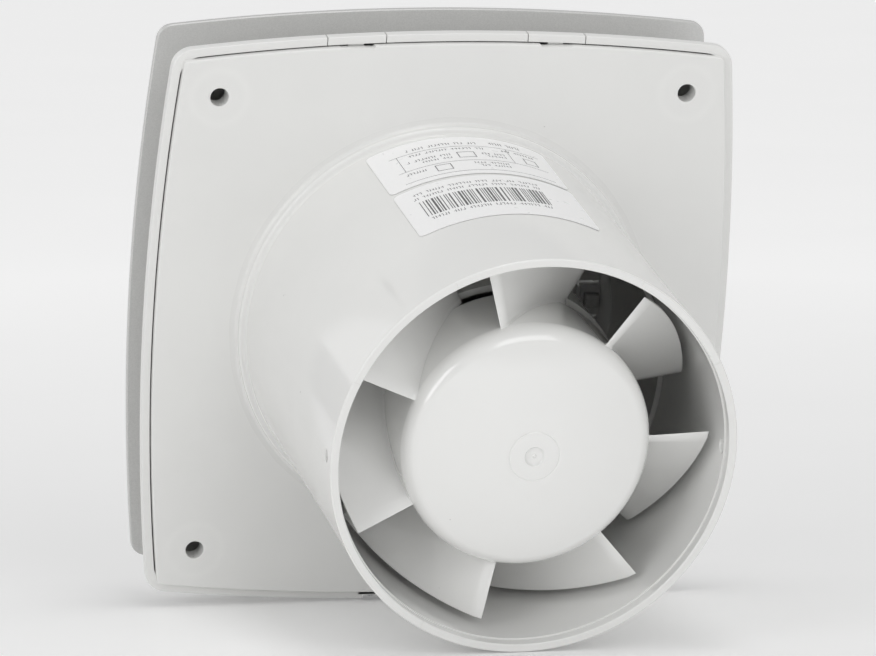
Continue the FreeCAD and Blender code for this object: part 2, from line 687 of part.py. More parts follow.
# --- Motor -----------------------------------------------------------------------------
def shading_places():
    """(x, z) pairs of the two legs of each shading ring."""
    return [((side * 9.4, 9.9), (side * 14.2, 5.4)) for side in (-1, 1)]


def stator_core():
    """Laminated iron around the rotor, open at the bottom for the coil."""
    core = box(-CORE_HALF_WIDTH, CORE_HALF_WIDTH, STACK_FRONT, STACK_REAR, -CORE_BOTTOM, CORE_TOP)
    corners = [edge for edge in core.Edges
               if edge.Length > STACK_THICK - 0.01 and edge.BoundBox.ZMin > 0
               and edge.BoundBox.YLength > STACK_THICK - 0.01]
    core = core.makeChamfer(CORE_CHAMFER, corners)
    cuts = [rod(BORE_R, STACK_FRONT - 1, STACK_REAR + 1)]
    cuts.append(box(-WINDOW_HALF, WINDOW_HALF, STACK_FRONT - 1, STACK_REAR + 1,
                    -CORE_BOTTOM - 1, WINDOW_TOP))
    for side in (-1, 1):
        cuts.append(rod(BOLT_R + BOLT_CLEARANCE, STACK_FRONT - 1, STACK_REAR + 1, side * BOLT_OFFSET))
    leg = SHADING_BAR / 2
    for pair in shading_places():
        for x, z in pair:
            cuts.append(box(x - leg, x + leg, STACK_FRONT - 1, STACK_REAR + 1, z - leg, z + leg))
    return core.cut(cuts)


def coil_limb():
    """Laminated bar that closes the iron through the coil."""
    return box(-WINDOW_HALF, WINDOW_HALF, STACK_FRONT, STACK_REAR, -CORE_BOTTOM, WINDOW_BOTTOM)


def shading_rings():
    """Two closed copper rings in the pole tips."""
    rings = []
    leg = SHADING_BAR / 2
    for (xa, za), (xb, zb) in shading_places():
        pieces = []
        for x, z in ((xa, za), (xb, zb)):
            pieces.append(box(x - leg, x + leg, STACK_FRONT - SHADING_BAR, STACK_REAR + SHADING_BAR,
                              z - leg, z + leg))
        length = math.hypot(xb - xa, zb - za)
        bar = box(0, length, 0, SHADING_BAR, -leg, leg)
        bar.rotate(Vector(0, 0, 0), Vector(0, 1, 0), -math.degrees(math.atan2(zb - za, xb - xa)))
        for y in (STACK_FRONT - SHADING_BAR, STACK_REAR):
            end = bar.copy()
            end.translate(Vector(xa, y, za))
            pieces.append(end)
        rings.append(fused(pieces))
    return rings


def bobbin_sizes(grow):
    """Half sizes across Y and Z of a box around the coil limb."""
    return STACK_THICK / 2 + BOBBIN_CLEARANCE + grow, COIL_LIMB_HEIGHT / 2 + BOBBIN_CLEARANCE + grow


def around_limb(x0, x1, grow):
    """A block around the coil limb, larger by the same amount on each side."""
    half_y, half_z = bobbin_sizes(grow)
    return box(x0, x1, STACK_MIDDLE - half_y, STACK_MIDDLE + half_y,
               LIMB_MIDDLE_Z - half_z, LIMB_MIDDLE_Z + half_z)


def coil_bobbin():
    """Nylon former with a flange at each end."""
    end = WINDOW_HALF - BOBBIN_CLEARANCE
    lip = BOBBIN_WALL + WINDING_THICK + BOBBIN_LIP / 2
    body = around_limb(-end, end, BOBBIN_WALL)
    flanges = [around_limb(-end, -end + BOBBIN_FLANGE, lip), around_limb(end - BOBBIN_FLANGE, end, lip)]
    return fused([body] + flanges).cut(around_limb(-end - 1, end + 1, 0))


def motor_coil():
    """Copper winding, with the rounded corners that wound wire has."""
    end = WINDOW_HALF - BOBBIN_CLEARANCE - BOBBIN_FLANGE
    outer = around_limb(-end, end, BOBBIN_WALL + WINDING_THICK)
    long_edges = [edge for edge in outer.Edges if edge.BoundBox.XLength > 2 * end - 0.01]
    outer = outer.makeFillet(WINDING_THICK * 0.6, long_edges)
    return outer.cut(around_limb(-end - 1, end + 1, BOBBIN_WALL))


def thermal_fuse():
    """One-shot thermal cut-out laid on the coil's rear side."""
    _, half_z = bobbin_sizes(0)
    y = STACK_MIDDLE + bobbin_sizes(BOBBIN_WALL + WINDING_THICK)[0] + FUSE_R
    return Part.makeCylinder(FUSE_R, FUSE_LENGTH, Vector(-FUSE_LENGTH / 2, y, LIMB_MIDDLE_Z),
                             Vector(1, 0, 0))


def bearing_bridge():
    """Cast bridge over the rear of the rotor, carrying one bearing."""
    face = STACK_MIDDLE + BRIDGE_REACH
    plate = rod(BRIDGE_R, face, face + BRIDGE_THICK)
    boss = rod(BRIDGE_BOSS_R, face, face + BRIDGE_THICK + BRIDGE_BOSS_HEIGHT)
    half = BRIDGE_LEG_WIDTH / 2
    legs = []
    for side in (-1, 1):
        leg = box(side * (BORE_R + 0.6), side * (CORE_HALF_WIDTH - 0.5), STACK_REAR, face + BRIDGE_THICK,
                  -half, half)
        legs.append(leg)
    windows = [rod(BRIDGE_R + 2, face - 1, face + BRIDGE_THICK + 1).cut(
        box(-BRIDGE_R - 3, BRIDGE_R + 3, face - 2, face + BRIDGE_THICK + 2,
            -half - 3, half + 3))]
    whole = fused([plate.cut(windows), boss] + legs)
    whole = whole.cut(rod(BEARING_R, face - 1, face + BRIDGE_THICK + BRIDGE_BOSS_HEIGHT + 1))
    for side in (-1, 1):
        whole = whole.cut(rod(BOLT_R + BOLT_CLEARANCE, STACK_REAR - 1, face + BRIDGE_THICK + 1,
                              side * BOLT_OFFSET))
    return whole


def about_stack(shape):
    """A copy on the other side of the stator stack."""
    flipped = shape.mirror(Vector(0, STACK_MIDDLE, 0), Vector(0, 1, 0))
    return flipped


def bearing():
    """Sintered bronze sleeve bearing in the rear bridge."""
    start = STACK_MIDDLE + BRIDGE_REACH + 0.2
    return tube(BEARING_R, SHAFT_R + BEARING_CLEARANCE, start, start + BEARING_LENGTH)


def motor_bolts():
    """Two long screws that clamp the motor together and to the pod."""
    face = STACK_MIDDLE + BRIDGE_REACH + BRIDGE_THICK
    foot = STACK_MIDDLE - BRIDGE_REACH - BRIDGE_THICK - BOLT_BITE
    bolts = []
    for side in (-1, 1):
        at = Vector(side * BOLT_OFFSET, 0, 0)
        head = dome_head(BOLT_HEAD_R, BOLT_HEAD_HEIGHT, face, Vector(0, 1, 0), at)
        bolts.append(fused([head, rod(BOLT_R, foot, face, side * BOLT_OFFSET)]))
    return bolts


# --- Rotor -----------------------------------------------------------------------------
def rotor_core():
    """Laminated rotor."""
    return tube(BORE_R - AIR_GAP, SHAFT_R, STACK_FRONT, STACK_REAR)


def rotor_end_rings():
    """Aluminium end rings of the rotor's cage."""
    outer = BORE_R - AIR_GAP - END_RING_OUTER_INSET
    rear = tube(outer, END_RING_INNER_R, STACK_REAR, STACK_REAR + END_RING_THICK)
    return [about_stack(rear), rear]


def rotor_spacers():
    """Spacer sleeve and thrust washer on each side of the rotor."""
    bearing_face = STACK_MIDDLE + BRIDGE_REACH + 0.2
    washer_end = bearing_face - END_FLOAT
    washer = tube(WASHER_R, SHAFT_R, washer_end - WASHER_THICK, washer_end)
    sleeve = tube(SPACER_R, SHAFT_R, STACK_REAR, washer_end - WASHER_THICK)
    return [washer, sleeve, about_stack(washer), about_stack(sleeve)]


def rotor_shaft():
    """Ground steel shaft."""
    end = INSERT_START + INSERT_LENGTH - 0.5
    shaft = rod(SHAFT_R, SHAFT_START, end)
    rims = [edge for edge in shaft.Edges if edge.BoundBox.YLength < 0.01]
    return shaft.makeChamfer(0.3, rims)


def hub_outline(inset):
    """Outside of the hub, moved inwards: crown arc, corner arc and straight skirt."""
    radius = HUB_R - inset
    crown = HUB_CROWN_R - inset
    corner = HUB_CORNER_R - inset
    centre_y = HUB_APEX - HUB_CROWN_R
    corner_x = radius - corner
    corner_y = centre_y + math.sqrt((crown - corner) ** 2 - corner_x ** 2)
    lean = math.atan2(corner_x, corner_y - centre_y)
    touch = Vector(crown * math.sin(lean), centre_y + crown * math.cos(lean), 0)
    apex = Vector(0, HUB_APEX - inset, 0)
    half = lean / 2
    crown_middle = Vector(crown * math.sin(half), centre_y + crown * math.cos(half), 0)
    turn = (lean + math.pi / 2) / 2
    corner_middle = Vector(corner_x + corner * math.sin(turn), corner_y + corner * math.cos(turn), 0)
    side = Vector(radius, corner_y, 0)
    edges = [
        Part.Arc(apex, crown_middle, touch).toShape(),
        Part.Arc(touch, corner_middle, side).toShape(),
    ]
    return edges, side, apex


def hub_solid(inset, start):
    """Solid with the hub's outline, down to a flat rim."""
    edges, side, apex = hub_outline(inset)
    foot = Vector(side.x, start, 0)
    centre = Vector(0, start, 0)
    edges.append(Part.LineSegment(side, foot).toShape())
    edges.append(Part.LineSegment(foot, centre).toShape())
    edges.append(Part.LineSegment(centre, apex).toShape())
    return Part.Face(Part.Wire(edges)).revolve(Vector(0, 0, 0), Vector(0, 1, 0), 360)


def blade_section(distance):
    """Closed outline of a blade in the plane square to its middle radius."""
    middle = []
    for index in range(BLADE_STATIONS):
        part = index / (BLADE_STATIONS - 1)
        angle = math.radians(BLADE_SWEEP) * (part - 0.5)
        y = BLADE_REAR + (BLADE_FRONT - BLADE_REAR) * part - BLADE_CAMBER * 4 * part * (1 - part)
        middle.append((distance * math.tan(angle), y))
    upper, lower = [], []
    for index, (u, y) in enumerate(middle):
        u0, y0 = middle[max(index - 1, 0)]
        u1, y1 = middle[min(index + 1, BLADE_STATIONS - 1)]
        length = math.hypot(u1 - u0, y1 - y0)
        normal = (-(y1 - y0) / length * BLADE_THICK / 2, (u1 - u0) / length * BLADE_THICK / 2)
        upper.append(Vector(distance, y + normal[1], u + normal[0]))
        lower.append(Vector(distance, y - normal[1], u - normal[0]))
    top, bottom = Part.BSplineCurve(), Part.BSplineCurve()
    top.interpolate(upper)
    bottom.interpolate(lower[::-1])
    return Part.Wire([
        top.toShape(), Part.LineSegment(upper[-1], lower[-1]).toShape(),
        bottom.toShape(), Part.LineSegment(lower[0], upper[0]).toShape(),
    ])


def blade():
    """One blade whose middle stands on the +X side, made of radial lines."""
    root = HUB_R - HUB_WALL / 2
    slab = Part.makeLoft([blade_section(root * 0.9), blade_section(BLADE_TIP_FRONT * 1.06)], True, True)
    ring = turned([
        (root, BLADE_FRONT - 3), (BLADE_TIP_FRONT, BLADE_FRONT - 3), (BLADE_TIP_FRONT, BLADE_FRONT),
        (BLADE_TIP_REAR, BLADE_REAR), (BLADE_TIP_REAR, BLADE_REAR + 3), (root, BLADE_REAR + 3),
    ])
    below = rod(BLADE_TIP_FRONT + 9, BLADE_FRONT - 9, BLADE_FRONT)
    above = rod(BLADE_TIP_FRONT + 9, BLADE_REAR, BLADE_REAR + 9)
    return slab.common(ring).cut([below, above])


def impeller():
    """Domed hub with its blades, ribs and boss, moulded in one."""
    shell = hub_solid(0, HUB_START).cut(hub_solid(HUB_WALL, HUB_START - 1))
    envelope = hub_solid(HUB_WALL / 2, HUB_START)
    boss = rod(HUB_BOSS_R, HUB_BOSS_START, HUB_APEX).common(envelope)
    solids = [shell, boss]
    for index in range(HUB_RIB_COUNT):
        rib = box(0, HUB_R, HUB_RIB_START, HUB_APEX, -HUB_RIB_THICK / 2, HUB_RIB_THICK / 2)
        solids.append(about_axis(rib, index * 360 / HUB_RIB_COUNT).common(envelope))
    one_blade = blade()
    for index in range(BLADE_COUNT):
        middle = BLADE_FIRST + BLADE_SWEEP / 2 + index * 360 / BLADE_COUNT
        solids.append(about_axis(one_blade, middle))
    whole = fused(solids)
    ring_y = HUB_APEX - GATE_RING_R ** 2 / (2 * HUB_CROWN_R)
    cuts = [rod(INSERT_R, HUB_BOSS_START - 1, INSERT_START + INSERT_LENGTH)]
    cuts.append(tube(GATE_RING_R + GATE_RING_WIDTH / 2, GATE_RING_R - GATE_RING_WIDTH / 2,
                     ring_y - 0.25, HUB_APEX + 1))
    dimple_floor = HUB_APEX - GATE_DIMPLE_DEPTH
    dimple = rod(GATE_DIMPLE_R, dimple_floor, HUB_APEX + 1)
    pip = rod(GATE_PIP_R, dimple_floor - 1, dimple_floor + GATE_PIP_HEIGHT)
    cuts.append(dimple.cut(pip))
    return whole.cut(cuts)


def hub_insert():
    """Brass bush moulded into the hub and pressed on the shaft."""
    return tube(INSERT_R, SHAFT_R, INSERT_START, INSERT_START + INSERT_LENGTH)


# --- Fasteners -------------------------------------------------------------------------
def carrier_screws():
    """Screws through the carrier's flange into the housing."""
    screws = []
    for x, z in carrier_screw_places():
        head = dome_head(CARRIER_HEAD_R, CARRIER_HEAD_HEIGHT, FLANGE_FRONT, Vector(0, -1, 0), Vector(x, 0, z))
        shank = rod(CARRIER_SCREW_R, -FLANGE_FRONT, -FLANGE_FRONT + CARRIER_SCREW_LENGTH, x, z)
        screws.append(fused([head, shank]))
    return screws


def cover_screw():
    """Screw that holds the cover from below."""
    seat = screw_pocket_floor()
    at = Vector(COVER_SCREW_X, -COVER_SCREW_DEPTH, 0)
    head = dome_head(COVER_HEAD_R, COVER_HEAD_HEIGHT, -seat, Vector(0, 0, -1), at)
    shank = pin_z(COVER_SCREW_R, seat, seat + COVER_SCREW_LENGTH, COVER_SCREW_X, -COVER_SCREW_DEPTH)
    return fused([head, shank])


def clamp_screws():
    """Two screws of the cable clamp."""
    screws = []
    face = PLATE_THICK + CLAMP_POST_HEIGHT + CLAMP_THICK
    for x, z in clamp_places():
        head = dome_head(CLAMP_HEAD_R, CLAMP_HEAD_HEIGHT, face, Vector(0, -1, 0), Vector(x, 0, z))
        screws.append(fused([head, rod(CLAMP_SCREW_R, -face, -PLATE_THICK, x, z)]))
    return screws


# --- Wiring space ----------------------------------------------------------------------
def cable_grommet():
    """Rubber bush in the plate, where the supply cable comes in from the wall."""
    body = rod(GROMMET_BORE_R + GROMMET_WALL, -PLATE_THICK, -0.1, GROMMET_X, GROMMET_Z)
    flange = rod(GROMMET_FLANGE_R, -PLATE_THICK - GROMMET_FLANGE_THICK, -PLATE_THICK,
                 GROMMET_X, GROMMET_Z)
    rims = [edge for edge in flange.Edges
            if edge.BoundBox.YMax < -PLATE_THICK - GROMMET_FLANGE_THICK + 0.01]
    flange = flange.makeFillet(0.6, rims)
    bore = rod(GROMMET_BORE_R, -PLATE_THICK - GROMMET_FLANGE_THICK - 1, 1, GROMMET_X, GROMMET_Z)
    return fused([body, flange]).cut(bore)


def cable_clamp():
    """Bar that holds the supply cable's sheath."""
    face = -PLATE_THICK - CLAMP_POST_HEIGHT
    half_l, half_w = CLAMP_LENGTH / 2, CLAMP_WIDTH / 2
    bar = box(CLAMP_X - half_l, CLAMP_X + half_l, face - CLAMP_THICK, face,
              CLAMP_Z - half_w, CLAMP_Z + half_w)
    upright = [edge for edge in bar.Edges if edge.BoundBox.YLength > CLAMP_THICK - 0.01]
    bar = bar.makeFillet(half_w * 0.6, upright)
    holes = [rod(CLAMP_SCREW_R + 0.1, face - CLAMP_THICK - 1, face + 1, x, z) for x, z in clamp_places()]
    return bar.cut(holes)


def pole_heights():
    """Height of each pole of the terminal block."""
    pitch = BLOCK_HEIGHT / BLOCK_POLES
    return [BLOCK_TOP - pitch * (index + 0.5) for index in range(BLOCK_POLES)]


def terminal_block():
    """Nylon block with one through channel and one screw well for each pole."""
    left = BLOCK_RIGHT - BLOCK_WIDTH
    block = box(left, BLOCK_RIGHT, -PLATE_THICK - BLOCK_DEPTH, -PLATE_THICK,
                BLOCK_TOP - BLOCK_HEIGHT, BLOCK_TOP)
    front = -PLATE_THICK - BLOCK_DEPTH
    cuts = []
    for z in pole_heights():
        cuts.append(Part.makeCylinder(TERMINAL_R + TERMINAL_GAP, BLOCK_WIDTH + 2,
                                      Vector(left - 1, -WIRE_DEPTH, z), Vector(1, 0, 0)))
        for x in terminal_screw_places():
            cuts.append(rod(TERMINAL_SCREW_R + 0.3, front - 1, -WIRE_DEPTH, x, z))
    for z in pole_heights()[:-1]:
        middle = z - BLOCK_HEIGHT / BLOCK_POLES / 2
        cuts.append(box(left - 1, BLOCK_RIGHT + 1, front - 1, front + 3.5, middle - 0.6, middle + 0.6))
    return block.cut(cuts)


def terminal_screw_places():
    """X of the two screws in each pole."""
    return [BLOCK_RIGHT - BLOCK_WIDTH * share for share in (0.28, 0.72)]


def terminal_inserts():
    """Brass barrels of the terminal block."""
    inserts = []
    start = BLOCK_RIGHT - BLOCK_WIDTH + 0.8
    for z in pole_heights():
        barrel = Part.makeCylinder(TERMINAL_R, BLOCK_WIDTH - 1.6, Vector(start, -WIRE_DEPTH, z),
                                   Vector(1, 0, 0))
        bore = Part.makeCylinder(TERMINAL_BORE_R, BLOCK_WIDTH, Vector(start - 1, -WIRE_DEPTH, z),
                                 Vector(1, 0, 0))
        holes = [rod(TERMINAL_SCREW_R, -WIRE_DEPTH - 4, -WIRE_DEPTH, x, z) for x in terminal_screw_places()]
        inserts.append(barrel.cut([bore] + holes))
    return inserts


def terminal_screws():
    """Steel screws of the terminal block."""
    screws = []
    for z in pole_heights():
        for x in terminal_screw_places():
            screw = rod(TERMINAL_SCREW_R, -WIRE_DEPTH - 3.6, -WIRE_DEPTH - 0.2, x, z)
            slot = box(x - 3, x + 3, -WIRE_DEPTH - 4, -WIRE_DEPTH - 2.9, z - 0.25, z + 0.25)
            screws.append(screw.cut(slot))
    return screws


def switch_body():
    """Case of the pull switch, open at its front."""
    half = SWITCH_WIDTH / 2
    case = box(SWITCH_X - half, SWITCH_X + half, -PLATE_THICK - SWITCH_DEPTH + SWITCH_LID, -PLATE_THICK,
               SWITCH_BOTTOM, SWITCH_TOP)
    well = box(SWITCH_X - half + SWITCH_WALL, SWITCH_X + half - SWITCH_WALL,
               -PLATE_THICK - SWITCH_DEPTH, -PLATE_THICK - SWITCH_WALL + 0.2,
               SWITCH_BOTTOM + SWITCH_WALL, SWITCH_TOP - SWITCH_WALL)
    hole = pin_z(PLUNGER_R + PLUNGER_CLEARANCE, SWITCH_BOTTOM - 1, SWITCH_BOTTOM + SWITCH_WALL + 1,
                 SWITCH_X, SWITCH_Y)
    cuts = [well, hole] + [contact.copy() for contact in switch_contacts()]
    return case.cut(cuts)


def switch_lid():
    """Plate that closes the switch."""
    half = SWITCH_WIDTH / 2
    lid = box(SWITCH_X - half, SWITCH_X + half, -PLATE_THICK - SWITCH_DEPTH,
              -PLATE_THICK - SWITCH_DEPTH + SWITCH_LID, SWITCH_BOTTOM, SWITCH_TOP)
    upright = [edge for edge in lid.Edges if edge.BoundBox.YLength > SWITCH_LID - 0.01]
    return lid.makeFillet(0.8, upright)


def switch_contacts():
    """Two brass blades that leave the switch: one upwards, one towards the axis."""
    wide = CONTACT_WIDTH / 2
    x, _, z = SWITCHED_LEAD[-1]
    upper = box(x - wide, x + wide, -WIRE_DEPTH - CONTACT_THICK / 2, -WIRE_DEPTH + CONTACT_THICK / 2,
                SWITCH_TOP - SWITCH_WALL - 0.2, z - CONTACT_STOP)
    x, _, z = LIVE_LEAD[0]
    side = box(x + CONTACT_STOP, SWITCH_X - SWITCH_WIDTH / 2 + SWITCH_WALL + 0.6,
               -WIRE_DEPTH - CONTACT_THICK / 2, -WIRE_DEPTH + CONTACT_THICK / 2, z - wide, z + wide)
    return [upper, side]


def plunger_collar_top():
    """Top of the plunger's collar at rest."""
    return SWITCH_TOP - SWITCH_WALL - 0.4


def switch_plunger():
    """Sliding rod with a spring collar inside the switch and an eye for a cord below it."""
    top = plunger_collar_top()
    eye_z = SWITCH_BOTTOM - PLUNGER_REACH
    collar = pin_z(PLUNGER_COLLAR_R, top - PLUNGER_COLLAR_THICK, top, SWITCH_X, SWITCH_Y)
    stem = pin_z(PLUNGER_R, eye_z, top, SWITCH_X, SWITCH_Y)
    half = PLUNGER_EYE_THICK / 2
    eye = Part.makeCylinder(PLUNGER_EYE_R, PLUNGER_EYE_THICK, Vector(SWITCH_X, SWITCH_Y - half, eye_z),
                            Vector(0, 1, 0))
    hole = Part.makeCylinder(PLUNGER_EYE_HOLE_R, 8, Vector(SWITCH_X, SWITCH_Y - 4, eye_z), Vector(0, 1, 0))
    return fused([collar, stem, eye]).cut(hole)


def switch_spring():
    """Compression spring under the plunger's collar."""
    low = SWITCH_BOTTOM + SWITCH_WALL + SPRING_WIRE_R + 0.02
    high = plunger_collar_top() - PLUNGER_COLLAR_THICK - SPRING_WIRE_R - 0.02
    height = high - low
    helix = Part.makeHelix(height / SPRING_TURNS, height, SPRING_R)
    start = Vector(SPRING_R, 0, 0)
    profile = Part.Wire(Part.makeCircle(SPRING_WIRE_R, start, Vector(0, 1, 0)))
    coil = Part.Wire(helix).makePipeShell([profile], True, True)
    coil.translate(Vector(SWITCH_X, SWITCH_Y, low))
    return coil


def cord_bush():
    """Smooth bush in the cover's lower side, where a pull cord would come out."""
    z = bush_flange_z()
    flange = pin_z(BUSH_FLANGE_R, z, z + BUSH_FLANGE_THICK, SWITCH_X, SWITCH_Y)
    stem = pin_z(BUSH_R, z + BUSH_FLANGE_THICK - BUSH_LENGTH, z + 0.5, SWITCH_X, SWITCH_Y)
    bore = pin_z(BUSH_BORE_R, z - BUSH_LENGTH, z + BUSH_LENGTH, SWITCH_X, SWITCH_Y)
    return fused([flange, stem]).cut(bore)


# --- Labels ----------------------------------------------------------------------------
def spigot_outside(y):
    """Radius of the spigot's outside at a distance from the wall."""
    start = ROOT_RING_HEIGHT + 0.3
    share = min(max((y - start) / (SPIGOT_DRAFT_END - start), 0), 1)
    return SPIGOT_ROOT_R - SPIGOT_DRAFT * share


def label(y0, y1):
    """Thin patch that follows the top of the spigot."""
    stops = [y0] + ([SPIGOT_DRAFT_END] if y0 < SPIGOT_DRAFT_END < y1 else []) + [y1]
    inner = [Vector(0, y, spigot_outside(y) + LABEL_LIFT) for y in stops]
    outer = [Vector(0, y, spigot_outside(y) + LABEL_LIFT + LABEL_THICK) for y in reversed(stops)]
    section = Part.Face(Part.makePolygon(inner + outer + inner[:1]))
    patch = section.revolve(Vector(0, 0, 0), Vector(0, 1, 0), 2 * LABEL_HALF_ANGLE)
    patch.rotate(Vector(0, 0, 0), Vector(0, 1, 0), LABEL_TURN - LABEL_HALF_ANGLE)
    return patch


def main():
    os.makedirs("parts", exist_ok=True)
    save("back_plate", back_plate())
    save("duct_spigot", duct_spigot())
    save("front_cover", front_cover())
    save("front_panel", front_panel())
    save("motor_carrier", motor_carrier())
    save("stator_core", stator_core())
    save("coil_limb", coil_limb())
    save("shading_rings", *shading_rings())
    save("coil_bobbin", coil_bobbin())
    save("motor_coil", motor_coil())
    save("thermal_fuse", thermal_fuse())
    save("rear_bridge", bearing_bridge())
    save("front_bridge", about_stack(bearing_bridge()))
    save("rear_bearing", bearing())
    save("front_bearing", about_stack(bearing()))
    save("motor_bolts", *motor_bolts())
    save("rotor_core", rotor_core())
    save("rotor_end_rings", *rotor_end_rings())
    save("rotor_spacers", *rotor_spacers())
    save("rotor_shaft", rotor_shaft())
    save("impeller", impeller())
    save("hub_insert", hub_insert())
    save("carrier_screws", *carrier_screws())
    save("cover_screw", cover_screw())
    save("cable_grommet", cable_grommet())
    save("cable_clamp", cable_clamp())
    save("clamp_screws", *clamp_screws())
    save("terminal_block", terminal_block())
    save("terminal_inserts", *terminal_inserts())
    save("terminal_screws", *terminal_screws())
    save("switch_body", switch_body())
    save("switch_lid", switch_lid())
    save("switch_contacts", *switch_contacts())
    save("switch_plunger", switch_plunger())
    save("switch_spring", switch_spring())
    save("cord_bush", cord_bush())
    save("neutral_lead", lead("neutral_lead", NEUTRAL_LEAD))
    save("switched_lead", lead("switched_lead", SWITCHED_LEAD))
    save("live_lead", lead("live_lead", LIVE_LEAD))
    save("rating_label", label(RATING_START, RATING_END))
    save("barcode_label", label(BARCODE_START, BARCODE_END))


main()
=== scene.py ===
import logging
import math
import random
from dataclasses import dataclass, field
from enum import Enum
from typing import Callable, Iterable, Sequence

import bmesh
import bpy
from mathutils import Matrix, Vector


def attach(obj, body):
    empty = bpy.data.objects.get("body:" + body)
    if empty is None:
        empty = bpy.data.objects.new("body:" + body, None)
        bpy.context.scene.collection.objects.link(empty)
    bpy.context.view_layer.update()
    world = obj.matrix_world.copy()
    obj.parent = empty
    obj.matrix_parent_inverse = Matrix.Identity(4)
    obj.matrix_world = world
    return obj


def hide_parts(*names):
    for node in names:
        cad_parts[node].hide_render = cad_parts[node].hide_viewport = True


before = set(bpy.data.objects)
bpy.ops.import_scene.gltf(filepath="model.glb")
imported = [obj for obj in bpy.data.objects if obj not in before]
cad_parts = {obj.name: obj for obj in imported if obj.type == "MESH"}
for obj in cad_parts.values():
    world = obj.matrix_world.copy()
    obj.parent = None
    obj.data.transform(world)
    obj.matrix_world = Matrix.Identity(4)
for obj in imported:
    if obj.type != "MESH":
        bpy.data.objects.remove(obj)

logging.basicConfig(level=logging.INFO, format="%(message)s")
LOG = logging.getLogger("extractor_fan")

MM = 0.001
ABS_IOR = 1.53
Point = tuple[float, float, float]
Flat = tuple[float, float]
Colour = tuple[float, float, float]
Mark = tuple[float, float, float, float]
Socket = bpy.types.NodeSocket
SIDES = (-1, 1)


# --- Shapes ------------------------------------------------------------------------------
@dataclass
class Solid:
    """A closed surface, or several, with its points in millimetres.

    Attributes:
        points: corner points in the fan's frame.
        faces: corner numbers of each face.
    """

    points: list[Point] = field(default_factory=list)
    faces: list[tuple[int, ...]] = field(default_factory=list)

    def plus(self, *others: "Solid") -> "Solid":
        """Put several solids in one.

        Args:
            others: the solids to add.

        Returns:
            A new solid that holds this one and the others.
        """
        points, faces = list(self.points), list(self.faces)
        for other in others:
            start = len(points)
            points += other.points
            faces += [tuple(start + corner for corner in face) for face in other.faces]
        return Solid(points, faces)

    def turned(self, degrees: float) -> "Solid":
        """Turn about the duct axis.

        Args:
            degrees: the angle, from +X towards +Z.

        Returns:
            The turned solid.
        """
        cosine, sine = math.cos(math.radians(degrees)), math.sin(math.radians(degrees))
        points = [(x * cosine - z * sine, y, x * sine + z * cosine) for x, y, z in self.points]
        return Solid(points, list(self.faces))

    def mesh(self, name: str, sharp: float = 32.0, scale: float = MM) -> bpy.types.Mesh:
        """Make a mesh whose faces point outwards.

        Args:
            name: the mesh's name.
            sharp: the angle in degrees above which an edge shows as a crease.
            scale: metres in one unit of the solid.

        Returns:
            The new mesh.
        """
        mesh = bpy.data.meshes.new(name)
        mesh.from_pydata(self.points, [], self.faces)
        work = bmesh.new()
        work.from_mesh(mesh)
        bmesh.ops.remove_doubles(work, verts=work.verts, dist=1e-4)
        bmesh.ops.dissolve_degenerate(work, edges=work.edges, dist=1e-5)
        bmesh.ops.recalc_face_normals(work, faces=work.faces)
        bmesh.ops.scale(work, vec=(scale,) * 3, verts=work.verts)
        work.to_mesh(mesh)
        work.free()
        mesh.polygons.foreach_set("use_smooth", [True] * len(mesh.polygons))
        mesh.set_sharp_from_angle(angle=math.radians(sharp))
        return mesh

    def without(self, cutters: Sequence["Solid"]) -> "Solid":
        """Cut other solids away.

        Args:
            cutters: closed solids that don't touch each other.

        Returns:
            What is left.
        """
        body = bpy.data.objects.new("cut_body", self.mesh("cut_body", scale=1.0))
        tool = bpy.data.objects.new("cut_tool", Solid().plus(*cutters).mesh("cut_tool", scale=1.0))
        for item in (body, tool):
            bpy.context.scene.collection.objects.link(item)
        cut = body.modifiers.new("cut", "BOOLEAN")
        cut.operation, cut.solver, cut.object = "DIFFERENCE", "EXACT", tool
        evaluated = body.evaluated_get(bpy.context.evaluated_depsgraph_get())
        result = bpy.data.meshes.new_from_object(evaluated)
        left = Solid([tuple(v.co) for v in result.vertices],
                     [tuple(p.vertices) for p in result.polygons])
        for item in (body, tool):
            held = item.data
            bpy.data.objects.remove(item)
            bpy.data.meshes.remove(held)
        bpy.data.meshes.remove(result)
        return left


@dataclass(frozen=True)
class BowedSquare:
    """A square outline with shallow curved sides and round corners, in millimetres.

    Attributes:
        half: centre to the line through two corners.
        corner: radius of the round corners.
        bulge: how far a side's middle stands out past its corners.
    """

    half: float
    corner: float
    bulge: float = 4.1

    def outline(self, per_side: int = 60, per_corner: int = 8) -> list[Flat]:
        """Points round the outline, as (x, z).

        Args:
            per_side: points along each side.
            per_corner: points round each corner.

        Returns:
            The points in order, with no point twice.
        """
        side_r = (self.half ** 2 + self.bulge ** 2) / (2 * self.bulge)
        side_centre = self.half + self.bulge - side_r
        reach = side_r - self.corner
        centre = (side_centre + math.sqrt(2 * reach ** 2 - side_centre ** 2)) / 2
        lean = math.asin(centre / reach)
        quarter: list[Flat] = []
        for step in range(per_side):
            angle = -lean + 2 * lean * step / per_side
            quarter.append((side_r * math.sin(angle), side_centre + side_r * math.cos(angle)))
        for step in range(per_corner):
            angle = lean + (math.pi / 2 - 2 * lean) * step / per_corner
            quarter.append((centre + self.corner * math.sin(angle),
                            centre + self.corner * math.cos(angle)))
        points: list[Flat] = []
        for _ in range(4):
            points += quarter
            quarter = [(v, -u) for u, v in quarter]
        return points

    def ring(self, y: float) -> list[Point]:
        """Return the outline's points at a height y."""
        return [(u, y, v) for u, v in self.outline()]

    def height(self, x: float) -> float:
        """Return how far from the axis a side lies at a place along it."""
        side_r = (self.half ** 2 + self.bulge ** 2) / (2 * self.bulge)
        return self.half + self.bulge - side_r + math.sqrt(side_r ** 2 - x ** 2)


